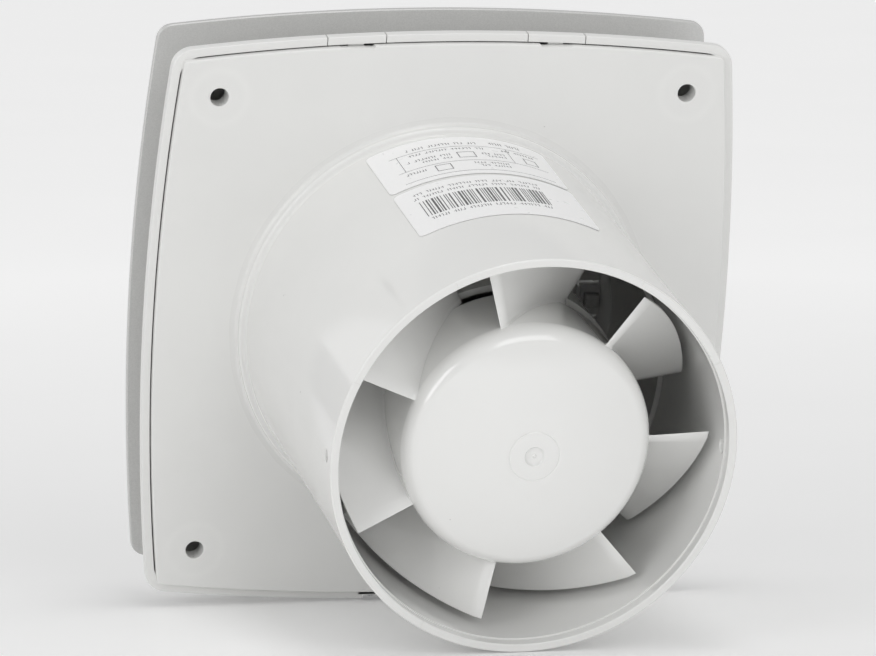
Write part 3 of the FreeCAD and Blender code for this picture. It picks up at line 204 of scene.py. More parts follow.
# The outline whose points set the directions of the points of every round ring.
SPOKES = BowedSquare(68.6, 0.8)


def round_ring(radius: float, y: float) -> list[Point]:
    """Points of a circle that stand in line with a bowed outline's points.

    Args:
        radius: the circle's radius in millimetres.
        y: its height along the axis.

    Returns:
        As many points as a bowed outline has.
    """
    ring = []
    for u, v in SPOKES.outline():
        length = math.hypot(u, v)
        ring.append((u / length * radius, y, v / length * radius))
    return ring


def eased(corners: Sequence[tuple[float, float, float]], steps: int = 4) -> list[Flat]:
    """Round the corners of a closed flat outline.

    Args:
        corners: (a, b, radius) of each corner; a radius of 0 leaves it sharp.
        steps: points put on each rounded corner, less one.

    Returns:
        The outline's points.
    """
    points: list[Flat] = []
    total = len(corners)
    for index, (a, b, radius) in enumerate(corners):
        here = Vector((a, b))
        if radius <= 0:
            points.append((a, b))
            continue
        back = Vector(corners[index - 1][:2]) - here
        ahead = Vector(corners[(index + 1) % total][:2]) - here
        angle = back.angle(ahead)
        reach = min(radius / math.tan(angle / 2), back.length * 0.49, ahead.length * 0.49)
        start, end = here + back.normalized() * reach, here + ahead.normalized() * reach
        true_r = reach * math.tan(angle / 2)
        middle = here + (back.normalized() + ahead.normalized()).normalized() * (
            true_r / math.sin(angle / 2))
        first, last = start - middle, end - middle
        for step in range(steps + 1):
            part = step / steps
            arm = first.lerp(last, part)
            arm = arm.normalized() * true_r
            points.append(tuple(middle + arm))
    return points


def looped(rings: Sequence[Sequence[Point]], closed: bool = True) -> Solid:
    """Join rings of equally many points by four-sided faces.

    Args:
        rings: the rings in order.
        closed: True joins the last ring to the first; False caps both ends.

    Returns:
        The closed solid.
    """
    count = len(rings[0])
    points = [point for ring in rings for point in ring]
    faces: list[tuple[int, ...]] = []
    last = len(rings) if closed else len(rings) - 1
    for index in range(last):
        low, high = index * count, (index + 1) % len(rings) * count
        for k in range(count):
            after = (k + 1) % count
            faces.append((low + k, low + after, high + after, high + k))
    if not closed:
        faces.append(tuple(range(count)))
        faces.append(tuple(range((len(rings) - 1) * count, len(rings) * count)))
    return Solid(points, faces)


def lathed(profile: Sequence[Flat], x: float = 0.0, z: float = 0.0, count: int = 96) -> Solid:
    """Turn a closed outline about a line along Y.

    Args:
        profile: (radius, y) points of the outline.
        x: where the line is, across.
        z: where the line is, in height.
        count: places round the turn.

    Returns:
        The closed solid.
    """
    rings = []
    for radius, y in profile:
        rings.append([(x + radius * math.cos(2 * math.pi * k / count), y,
                       z + radius * math.sin(2 * math.pi * k / count)) for k in range(count)])
    return looped(rings)


def block(low: Point, high: Point, ease: float = 0.0) -> Solid:
    """A block between two corners, with its edges eased.

    Args:
        low: the lowest corner.
        high: the highest corner.
        ease: width of the eased edges in millimetres; 0 leaves them sharp.

    Returns:
        The closed solid.
    """
    work = bmesh.new()
    bmesh.ops.create_cube(work, size=1.0)
    size = [b - a for a, b in zip(low, high)]
    middle = [(a + b) / 2 for a, b in zip(low, high)]
    bmesh.ops.scale(work, vec=size, verts=work.verts)
    bmesh.ops.translate(work, vec=middle, verts=work.verts)
    if ease > 0:
        bmesh.ops.bevel(work, geom=list(work.edges), offset=ease, segments=2, profile=0.6,
                        affect="EDGES")
    work.verts.index_update()
    made = Solid([tuple(v.co) for v in work.verts],
                 [tuple(v.index for v in f.verts) for f in work.faces])
    work.free()
    return made


def flared_drill(radius: float, low: float, high: float, flare: float, x: float, z: float) -> Solid:
    """A cutter for a round hole along Y with a small flare at both faces.

    Args:
        radius: the hole's radius.
        low: the lower face of the wall.
        high: the upper face of the wall.
        flare: how far each end widens.
        x: the hole's place, across.
        z: the hole's place, in height.

    Returns:
        The cutter.
    """
    profile = [(0.0, low - 1), (radius + flare + 1, low - 1), (radius, low + flare),
               (radius, high - flare), (radius + flare + 1, high + 1), (0.0, high + 1)]
    return lathed(profile, x, z, 40)


def upright_rod(radius: float, low: float, high: float, x: float, y: float, count: int = 32) -> Solid:
    """A plain cylinder along Z, used as a cutter.

    Args:
        radius: its radius.
        low: the height of its lower end.
        high: the height of its upper end.
        x: where it stands, across.
        y: where it stands, along the duct.
        count: places round the turn.

    Returns:
        The closed solid.
    """
    rod = lathed([(0, low), (radius, low), (radius, high), (0, high)], x, y, count)
    return Solid([(a, c, b) for a, b, c in rod.points], rod.faces)


# --- Finishes ----------------------------------------------------------------------------
class Bench:
    """A material being put together, node by node."""

    def __init__(self, name: str) -> None:
        """Start a material with a plain surface shader."""
        self.material = bpy.data.materials.new(name)
        self.material.use_nodes = True
        self.tree = self.material.node_tree
        self.shader = self.tree.nodes["Principled BSDF"]
        self.place = self.tree.nodes.new("ShaderNodeTexCoord").outputs["Object"]

    def node(self, kind: str, inputs: dict[str | int, object] | None = None,
             **settings: object) -> bpy.types.Node:
        """Add a node.

        Args:
            kind: the node's type name.
            inputs: values or sockets for its inputs, by name or number.
            settings: the node's own settings.

        Returns:
            The new node.
        """
        made = self.tree.nodes.new(kind)
        for key, value in settings.items():
            setattr(made, key, value)
        for key, value in (inputs or {}).items():
            if isinstance(value, Socket):
                self.tree.links.new(value, made.inputs[key])
            else:
                made.inputs[key].default_value = value
        return made

    def noise(self, scale: float, detail: float = 3.0, rough: float = 0.55,
              at: Socket | None = None) -> Socket:
        """Cloudy noise.

        Args:
            scale: cells in a metre.
            detail: how many finer layers it has.
            rough: how strong the finer layers are.
            at: coordinates, or None for the object's own.

        Returns:
            The noise value.
        """
        return self.node("ShaderNodeTexNoise", {"Vector": at or self.place, "Scale": scale,
                                                "Detail": detail, "Roughness": rough}).outputs["Fac"]

    def spread(self, value: Socket, low: float, high: float,
               start: float = 0.3, end: float = 0.7) -> Socket:
        """Map a value to a new range.

        Args:
            value: what to map.
            low: the result at the start.
            high: the result at the end.
            start: the value that gives the low result.
            end: the value that gives the high result.

        Returns:
            The mapped value.
        """
        return self.node("ShaderNodeMapRange", {"Value": value, "From Min": start, "From Max": end,
                                                "To Min": low, "To Max": high}).outputs["Result"]

    def math(self, operation: str, a: object, b: object = 0.0) -> Socket:
        """Return a sum, product or the like of two values."""
        return self.node("ShaderNodeMath", {0: a, 1: b}, operation=operation).outputs[0]

    def blend(self, share: Socket, first: object, second: object) -> Socket:
        """Mix two colours.

        Args:
            share: how much of the second colour.
            first: a colour or a colour socket.
            second: a colour or a colour socket.

        Returns:
            The mixed colour.
        """
        mix = self.node("ShaderNodeMix", data_type="RGBA")
        self.tree.links.new(share, mix.inputs["Factor"])
        for name, colour in (("A", first), ("B", second)):
            socket = next(s for s in mix.inputs if s.name == name and s.type == "RGBA")
            if isinstance(colour, Socket):
                self.tree.links.new(colour, socket)
            else:
                socket.default_value = (*colour, 1.0)
        return next(s for s in mix.outputs if s.type == "RGBA")

    def bump(self, height: Socket, depth: float,
             before: Socket | None = None) -> Socket:
        """Relief on the surface.

        Args:
            height: the relief, from 0 to 1.
            depth: its full depth in metres.
            before: relief that this one is added to.

        Returns:
            The new normal.
        """
        made = self.node("ShaderNodeBump", {"Height": height, "Distance": depth, "Strength": 1.0})
        if before is not None:
            self.tree.links.new(before, made.inputs["Normal"])
        return made.outputs["Normal"]

    def surface(self, colour: object, rough: object, relief: Socket | None = None,
                **constants: float) -> bpy.types.Material:
        """Finish the material.

        Args:
            colour: a colour or a colour socket.
            rough: a roughness or a socket.
            relief: the normal, if the surface has relief.
            constants: the shader's other values, by name with _ for a space.

        Returns:
            The material.
        """
        for name, value in (("Base Color", colour), ("Roughness", rough), ("Normal", relief)):
            if value is None:
                continue
            if isinstance(value, Socket):
                self.tree.links.new(value, self.shader.inputs[name])
            else:
                plain = (*value, 1.0) if name == "Base Color" else value
                self.shader.inputs[name].default_value = plain
        for name, value in constants.items():
            self.shader.inputs[name.replace("_", " ")].default_value = value
        return self.material


def lighter(colour: Colour, share: float) -> Colour:
    """Return the colour made lighter, or darker where the share is below 0."""
    return tuple(min(1.0, max(0.0, part * (1 + share))) for part in colour)


@dataclass(frozen=True)
class MouldedPlastic:
    """Injection-moulded plastic.

    Attributes:
        name: the material's name.
        colour: its linear colour.
        roughness: how matt it is.
        mottle: how far its colour wanders.
        grain: depth of the tool's fine texture, in millimetres.
        flow: depth of the long waves left as it cooled, in millimetres.
        speck: how dark its few dust specks are.
        coat: strength of a clear gloss over it.
        coat_rough: how matt that gloss is.
    """

    name: str
    colour: Colour
    roughness: float = 0.35
    mottle: float = 0.02
    grain: float = 0.004
    flow: float = 0.03
    speck: float = 0.0
    coat: float = 0.0
    coat_rough: float = 0.025

    def dressing(self) -> bpy.types.Material:
        """Make the material."""
        bench = Bench(self.name)
        cloud = bench.noise(26.0, 4.0)
        colour = bench.blend(bench.spread(cloud, 0.0, 1.0), lighter(self.colour, -self.mottle),
                             lighter(self.colour, self.mottle))
        if self.speck > 0:
            cell = bench.node("ShaderNodeTexVoronoi", {"Vector": bench.place, "Scale": 210.0})
            dot = bench.spread(cell.outputs["Distance"], self.speck, 0.0, 0.02, 0.05)
            rare = bench.spread(bench.noise(90.0, 1.0), 0.0, 1.0, 0.60, 0.64)
            colour = bench.blend(bench.math("MULTIPLY", dot, rare), colour, lighter(self.colour, -0.55))
        scuffs = bench.noise(140.0, 5.0, 0.65)
        rough = bench.spread(scuffs, self.roughness * 0.86, self.roughness * 1.14)
        waves = bench.bump(bench.noise(38.0, 1.0), self.flow * MM)
        relief = bench.bump(bench.noise(2600.0, 2.0), self.grain * MM, waves)
        return bench.surface(colour, rough, relief, IOR=ABS_IOR, Coat_Weight=self.coat,
                             Coat_Roughness=self.coat_rough)


@dataclass(frozen=True)
class HousingPlastic(MouldedPlastic):
    """Moulded plastic of the back plate and spigot: polished round the duct, satin on the plate.

    Attributes:
        polish_radius: inside this distance from the axis the tool is polished, in millimetres.
        polish: roughness there.
        sink_at: distance of the wall screws from the axis, across and in height.
        sink_radius: radius of the sink mark round each of them.
        sink_edge: width of the mark's soft edge.
        sink_depth: depth of the mark.
        sink_painted_highlight: how much paler the mark's edge is painted, as a share; a painted
            highlight standing in for light caught on the rim of the dip.
    """

    polish_radius: float = 53.0
    polish: float = 0.11
    sink_at: float = 59.5
    sink_radius: float = 6.9
    sink_edge: float = 1.6
    sink_depth: float = 0.018
    sink_painted_highlight: float = 0.12

    def dressing(self) -> bpy.types.Material:
        """Make the material."""
        bench = Bench(self.name)
        parts = bench.node("ShaderNodeSeparateXYZ", {0: bench.place})
        x, z = parts.outputs["X"], parts.outputs["Z"]
        reach = bench.math("SQRT", bench.math("ADD", bench.math("MULTIPLY", x, x),
                                              bench.math("MULTIPLY", z, z)))
        plate = bench.spread(reach, 0.0, 1.0, self.polish_radius * MM, (self.polish_radius + 1.5) * MM)
        cloud = bench.noise(24.0, 4.0)
        colour = bench.blend(bench.spread(cloud, 0.0, 1.0), lighter(self.colour, -self.mottle),
                             lighter(self.colour, self.mottle))
        off_x = bench.math("SUBTRACT", bench.math("ABSOLUTE", x), self.sink_at * MM)
        off_z = bench.math("SUBTRACT", bench.math("ABSOLUTE", z), self.sink_at * MM)
        away = bench.math("SQRT", bench.math("ADD", bench.math("MULTIPLY", off_x, off_x),
                                             bench.math("MULTIPLY", off_z, off_z)))
        inner, outer = (self.sink_radius - self.sink_edge) * MM, self.sink_radius * MM
        inside = bench.spread(away, 0.0, 1.0, inner, outer)
        outside = bench.spread(away, 1.0, 0.0, outer, outer + self.sink_edge * MM)
        # Painted highlight: the paler ring round each sink mark stands in for light caught on the rim
        # of the dip; the dip itself is real relief, bumped below.
        painted_highlight = bench.math("MULTIPLY", inside, outside)
        colour = bench.blend(bench.math("MULTIPLY", painted_highlight, self.sink_painted_highlight), colour,
                             lighter(self.colour, 0.16))
        cell = bench.node("ShaderNodeTexVoronoi", {"Vector": bench.place, "Scale": 150.0})
        dot = bench.spread(cell.outputs["Distance"], 1.0, 0.0, 0.02, 0.045)
        rare = bench.spread(bench.noise(70.0, 1.0), 0.0, self.speck, 0.60, 0.64)
        colour = bench.blend(bench.math("MULTIPLY", dot, rare), colour, lighter(self.colour, -0.5))
        scuffs = bench.spread(bench.noise(120.0, 5.0, 0.65), 0.9, 1.12)
        gloss = bench.spread(plate, self.polish, self.roughness, 0.0, 1.0)
        rough = bench.math("MULTIPLY", gloss, scuffs)
        waves = bench.bump(bench.noise(30.0, 1.0), self.flow * MM)
        sinks = bench.bump(inside, self.sink_depth * MM, waves)
        relief = bench.bump(bench.math("MULTIPLY", bench.noise(2400.0, 2.0), plate),
                            self.grain * MM, sinks)
        return bench.surface(colour, rough, relief, IOR=ABS_IOR)


@dataclass(frozen=True)
class PanelPaint:
    """Matt aluminium-coloured paint sprayed on plastic.

    Attributes:
        name: the material's name.
        colour: its linear colour.
        roughness: how matt it is.
        flake: how far the flakes differ in brightness.
        peel: depth of the sprayed skin's waves, in millimetres.
    """

    name: str = "panel_paint"
    colour: Colour = (0.65, 0.65, 0.64)
    roughness: float = 0.38
    flake: float = 0.05
    peel: float = 0.003

    def dressing(self) -> bpy.types.Material:
        """Make the material."""
        bench = Bench(self.name)
        flakes = bench.node("ShaderNodeTexVoronoi", {"Vector": bench.place, "Scale": 3800.0})
        tint = bench.node("ShaderNodeSeparateColor", {0: flakes.outputs["Color"]}).outputs[0]
        colour = bench.blend(tint, lighter(self.colour, -self.flake), lighter(self.colour, self.flake))
        drift = bench.spread(bench.noise(14.0, 3.0), 0.0, 0.35)
        colour = bench.blend(drift, colour, lighter(self.colour, -0.06))
        rough = bench.spread(bench.noise(400.0, 3.0), self.roughness - 0.05, self.roughness + 0.05)
        relief = bench.bump(bench.noise(1100.0, 2.0), self.peel * MM)
        return bench.surface(colour, rough, relief, Metallic=0.35)


@dataclass(frozen=True)
class WorkedMetal:
    """A metal part: turned, ground, cast or plated.

    Attributes:
        name: the material's name.
        colour: its linear colour.
        roughness: how matt it is.
        stain: how far its tone wanders.
        pit: depth of its pits or tool marks, in millimetres.
        scale: pits in a metre.
    """

    name: str
    colour: Colour
    roughness: float = 0.3
    stain: float = 0.12
    pit: float = 0.006
    scale: float = 1500.0

    def dressing(self) -> bpy.types.Material:
        """Make the material."""
        bench = Bench(self.name)
        tone = bench.spread(bench.noise(180.0, 5.0, 0.6), 0.0, 1.0)
        colour = bench.blend(tone, lighter(self.colour, -self.stain), lighter(self.colour, self.stain))
        rough = bench.spread(bench.noise(650.0, 4.0), self.roughness * 0.75, self.roughness * 1.3)
        relief = bench.bump(bench.noise(self.scale, 3.0), self.pit * MM)
        return bench.surface(colour, rough, relief, Metallic=1.0)


class Axis(Enum):
    """A direction that layers or turns follow one another along."""

    X = "X"
    Y = "Y"
    Z = "Z"


@dataclass(frozen=True)
class Layered:
    """A surface of many thin layers: stacked sheets, or turns of wire.

    Attributes:
        name: the material's name.
        colour: linear colour of a layer.
        gap: linear colour between two layers.
        pitch: thickness of a layer in millimetres.
        along: the direction the layers follow one another in.
        depth: depth of the gap in millimetres.
        metallic: 1 for bare metal.
        roughness: how matt it is.
    """

    name: str
    colour: Colour
    gap: Colour
    pitch: float
    along: Axis
    depth: float = 0.04
    metallic: float = 1.0
    roughness: float = 0.42

    def dressing(self) -> bpy.types.Material:
        """Make the material."""
        bench = Bench(self.name)
        wobble = bench.math("MULTIPLY", bench.noise(300.0, 2.0), 0.12 * self.pitch * MM)
        parts = bench.node("ShaderNodeSeparateXYZ", {0: bench.place})
        place = bench.math("ADD", parts.outputs[self.along.value], wobble)
        phase = bench.math("PINGPONG", place, self.pitch * MM / 2)
        ridge = bench.spread(phase, 0.0, 1.0, 0.0, 0.16 * self.pitch * MM)
        tone = bench.spread(bench.noise(420.0, 4.0), 0.0, 1.0)
        body = bench.blend(tone, lighter(self.colour, -0.2), lighter(self.colour, 0.15))
        colour = bench.blend(ridge, self.gap, body)
        rough = bench.spread(bench.noise(900.0, 3.0), self.roughness - 0.1, self.roughness + 0.12)
        relief = bench.bump(ridge, self.depth * MM)
        return bench.surface(colour, rough, relief, Metallic=self.metallic)


@dataclass(frozen=True)
class CoatedPaper:
    """Coated label paper."""

    name: str = "label_paper"
    colour: Colour = (0.95, 0.95, 0.95)

    def dressing(self) -> bpy.types.Material:
        """Make the material."""
        bench = Bench(self.name)
        fibres = bench.noise(1500.0, 4.0, 0.7)
        colour = bench.blend(bench.spread(fibres, 0.0, 1.0), lighter(self.colour, -0.03), self.colour)
        rough = bench.spread(bench.noise(220.0, 3.0), 0.26, 0.38)
        relief = bench.bump(fibres, 0.003 * MM, bench.bump(bench.noise(60.0, 1.0), 0.03 * MM))
        return bench.surface(colour, rough, relief)


@dataclass(frozen=True)
class PrinterInk:
    """Thermal-transfer ink, a little thin in places."""

    name: str = "label_ink"
    colour: Colour = (0.06, 0.06, 0.065)

    def dressing(self) -> bpy.types.Material:
        """Make the material."""
        bench = Bench(self.name)
        thin = bench.spread(bench.noise(2600.0, 3.0, 0.7), 0.0, 0.35, 0.5, 0.75)
        colour = bench.blend(thin, self.colour, (0.30, 0.30, 0.30))
        rough = bench.spread(bench.noise(500.0), 0.30, 0.42)
        return bench.surface(colour, rough, bench.bump(bench.noise(1800.0), 0.002 * MM))


@dataclass(frozen=True)
class SoftRubber:
    """Black rubber with a dusty bloom."""

    name: str = "grommet_rubber"
    colour: Colour = (0.03, 0.03, 0.032)

    def dressing(self) -> bpy.types.Material:
        """Make the material."""
        bench = Bench(self.name)
        bloom = bench.spread(bench.noise(160.0, 5.0, 0.6), 0.0, 0.5)
        colour = bench.blend(bloom, self.colour, (0.075, 0.074, 0.07))
        rough = bench.spread(bench.noise(240.0, 4.0), 0.55, 0.75)
        return bench.surface(colour, rough, bench.bump(bench.noise(1400.0, 3.0), 0.012 * MM))


@dataclass
class Wardrobe:
    """Every finish of the fan, each made once."""

    housing: HousingPlastic = HousingPlastic(
        "housing_abs", (0.815, 0.815, 0.80), roughness=0.40, mottle=0.018, grain=0.006, flow=0.05,
        speck=0.8)
    cover: MouldedPlastic = MouldedPlastic(
        "cover_abs", (0.81, 0.81, 0.795), roughness=0.36, mottle=0.015, grain=0.006, flow=0.04,
        speck=0.5)
    carrier: MouldedPlastic = MouldedPlastic(
        "carrier_abs", (0.74, 0.74, 0.72), roughness=0.16, mottle=0.02, grain=0.003, flow=0.04)
    impeller: MouldedPlastic = MouldedPlastic(
        "impeller_abs", (0.86, 0.86, 0.845), roughness=0.12, mottle=0.010, grain=0.0, flow=0.02,
        speck=0.5, coat=1.0)
    nylon: MouldedPlastic = MouldedPlastic(
        "natural_nylon", (0.66, 0.64, 0.56), roughness=0.42, mottle=0.04, grain=0.005)
    acetal: MouldedPlastic = MouldedPlastic(
        "white_acetal", (0.64, 0.64, 0.60), roughness=0.34, mottle=0.02, grain=0.003)
    epoxy: MouldedPlastic = MouldedPlastic(
        "fuse_epoxy", (0.52, 0.47, 0.36), roughness=0.38, mottle=0.10, grain=0.008)
    blue_sheath: MouldedPlastic = MouldedPlastic(
        "blue_sheath", (0.02, 0.09, 0.42), roughness=0.36, mottle=0.08, grain=0.004)
    brown_sheath: MouldedPlastic = MouldedPlastic(
        "brown_sheath", (0.11, 0.045, 0.022), roughness=0.36, mottle=0.08, grain=0.004)
    paint: PanelPaint = PanelPaint()
    screw_steel: WorkedMetal = WorkedMetal("zinc_plate", (0.60, 0.61, 0.63), roughness=0.28,
                                           stain=0.10)
    ground_steel: WorkedMetal = WorkedMetal("ground_steel", (0.55, 0.55, 0.56), roughness=0.22,
                                            stain=0.06, pit=0.002, scale=3500.0)
    casting: WorkedMetal = WorkedMetal("zinc_casting", (0.42, 0.42, 0.44), roughness=0.5, stain=0.14,
                                       pit=0.02, scale=1100.0)
    aluminium: WorkedMetal = WorkedMetal("cage_aluminium", (0.62, 0.62, 0.64), roughness=0.42,
                                         pit=0.012)
    bronze: WorkedMetal = WorkedMetal("oiled_bronze", (0.42, 0.26, 0.11), roughness=0.45, pit=0.010,
                                      scale=2200.0)
    brass: WorkedMetal = WorkedMetal("turned_brass", (0.70, 0.50, 0.18), roughness=0.24, pit=0.003,
                                     scale=2600.0)
    sheets: Layered = Layered("stacked_sheets", (0.22, 0.22, 0.23), (0.04, 0.035, 0.03), 0.5,
                              Axis.Y)
    wire: Layered = Layered("wound_copper", (0.55, 0.20, 0.07), (0.10, 0.03, 0.015), 0.32, Axis.X,
                            depth=0.1, roughness=0.3)
    bar: WorkedMetal = WorkedMetal("bare_copper", (0.62, 0.27, 0.14), roughness=0.3, stain=0.2)
    paper: CoatedPaper = CoatedPaper()
    ink: PrinterInk = PrinterInk()
    rubber: SoftRubber = SoftRubber()
    made: dict[str, bpy.types.Material] = field(default_factory=dict)

    def get(self, finish: object) -> bpy.types.Material:
        """Return a finish's material, made on first use."""
        if finish.name not in self.made:
            self.made[finish.name] = finish.dressing()
        return self.made[finish.name]


# --- Placing pieces ----------------------------------------------------------------------
# How strongly large flat faces set the shading of the small ones beside them.
FLAT_WEIGHT = 70


def placed(name: str, mesh: bpy.types.Mesh, body: str,
           replaced: Iterable[str]) -> bpy.types.Object:
    """Put a finished mesh in the scene.

    Args:
        name: the piece's name.
        mesh: its mesh, in metres, with its place in its points.
        body: the CAD body it rides on.
        replaced: the CAD nodes it stands for.

    Returns:
        The new object.
    """
    made = bpy.data.objects.new(name, mesh)
    bpy.context.scene.collection.objects.link(made)
    flat = made.modifiers.new("flat_faces", "WEIGHTED_NORMAL")
    flat.keep_sharp, flat.weight = True, FLAT_WEIGHT
    evaluated = made.evaluated_get(bpy.context.evaluated_depsgraph_get())
    made.data = bpy.data.meshes.new_from_object(evaluated)
    made.modifiers.remove(flat)
    made.data.name = name
    bpy.data.meshes.remove(mesh)
    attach(made, body)
    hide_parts(*replaced)
    LOG.info("%s: %d faces, rides on %s", name, len(made.data.polygons), body)
    return made


class RingOfCopies:
    """Geometry Nodes that repeat one mesh round the duct axis."""

    def __init__(self) -> None:
        """Build the tree, with the mesh, the number, the first angle and the finish as inputs."""
        self.tree = bpy.data.node_groups.new("ring_of_copies", "GeometryNodeTree")
        face = self.tree.interface
        face.new_socket("Geometry", in_out="INPUT", socket_type="NodeSocketGeometry")
        self.piece = face.new_socket("Piece", in_out="INPUT", socket_type="NodeSocketObject")
        self.count = face.new_socket("Count", in_out="INPUT", socket_type="NodeSocketInt")
        self.first = face.new_socket("First Angle", in_out="INPUT", socket_type="NodeSocketFloat")
        self.finish = face.new_socket("Finish", in_out="INPUT", socket_type="NodeSocketMaterial")
        face.new_socket("Geometry", in_out="OUTPUT", socket_type="NodeSocketGeometry")
        nodes, links = self.tree.nodes, self.tree.links
        given = nodes.new("NodeGroupInput")
        result = nodes.new("NodeGroupOutput")
        points = nodes.new("GeometryNodePoints")
        source = nodes.new("GeometryNodeObjectInfo")
        index = nodes.new("GeometryNodeInputIndex")
        share = nodes.new("ShaderNodeMath")
        share.operation = "DIVIDE"
        sweep = nodes.new("ShaderNodeMath")
        sweep.operation = "MULTIPLY_ADD"
        sweep.inputs[1].default_value = -2 * math.pi
        euler = nodes.new("ShaderNodeCombineXYZ")
        turn = nodes.new("FunctionNodeEulerToRotation")
        copies = nodes.new("GeometryNodeInstanceOnPoints")
        real = nodes.new("GeometryNodeRealizeInstances")
        dress = nodes.new("GeometryNodeSetMaterial")
        links.new(given.outputs["Piece"], source.inputs["Object"])
        links.new(given.outputs["Count"], points.inputs["Count"])
        links.new(index.outputs[0], share.inputs[0])
        links.new(given.outputs["Count"], share.inputs[1])
        links.new(share.outputs[0], sweep.inputs[0])
        links.new(given.outputs["First Angle"], sweep.inputs[2])
        links.new(sweep.outputs[0], euler.inputs["Y"])
        links.new(euler.outputs[0], turn.inputs[0])
        links.new(points.outputs[0], copies.inputs["Points"])
        links.new(source.outputs["Geometry"], copies.inputs["Instance"])
        links.new(turn.outputs[0], copies.inputs["Rotation"])
        links.new(copies.outputs[0], real.inputs[0])
        links.new(real.outputs[0], dress.inputs["Geometry"])
        links.new(given.outputs["Finish"], dress.inputs["Material"])
        links.new(dress.outputs[0], result.inputs[0])

    def made(self, name: str, single: bpy.types.Mesh, count: int, first: float,
             finish: bpy.types.Material) -> bpy.types.Mesh:
        """Repeat a mesh round the axis.

        Args:
            name: the new mesh's name.
            single: the mesh to repeat, on the +X side.
            count: how many copies.
            first: where the first stands, in degrees from +X towards +Z.
            finish: the material of every copy.

        Returns:
            One plain mesh that holds all the copies.
        """
        scene = bpy.context.scene.collection
        source = bpy.data.objects.new(name + "_single", single)
        holder = bpy.data.objects.new(name + "_holder", bpy.data.meshes.new(name + "_holder"))
        for item in (source, holder):
            scene.objects.link(item)
        modifier = holder.modifiers.new("copies", "NODES")
        modifier.node_group = self.tree
        modifier[self.piece.identifier] = source
        modifier[self.count.identifier] = count
        modifier[self.first.identifier] = -math.radians(first)
        modifier[self.finish.identifier] = finish
        evaluated = holder.evaluated_get(bpy.context.evaluated_depsgraph_get())
        mesh = bpy.data.meshes.new_from_object(evaluated)
        mesh.name = name
        holder.modifiers.remove(modifier)
        for item in (holder, source):
            held = item.data
            bpy.data.objects.remove(item)
            bpy.data.meshes.remove(held)
        return mesh


def merged(name: str, *meshes: bpy.types.Mesh) -> bpy.types.Mesh:
    """Join meshes that share one finish.

    Args:
        name: the new mesh's name.
        meshes: the meshes, which are used up.

    Returns:
        One mesh.
    """
    work = bmesh.new()
    for mesh in meshes:
        work.from_mesh(mesh)
    made = bpy.data.meshes.new(name)
    work.to_mesh(made)
    work.free()
    for mesh in meshes:
        bpy.data.meshes.remove(mesh)
    return made


def dressed(mesh: bpy.types.Mesh, *finishes: bpy.types.Material) -> bpy.types.Mesh:
    """Give a mesh its materials.

    Args:
        mesh: the mesh.
        finishes: its materials, in slot order.

    Returns:
        The same mesh.
    """
    mesh.materials.clear()
    for finish in finishes:
        mesh.materials.append(finish)
    return mesh


# --- Sub-assemblies ----------------------------------------------------------------------
# Where the cover's screw stands, across and along the duct, in millimetres.
SCREW_X = 12.0
SCREW_Y = -5.4


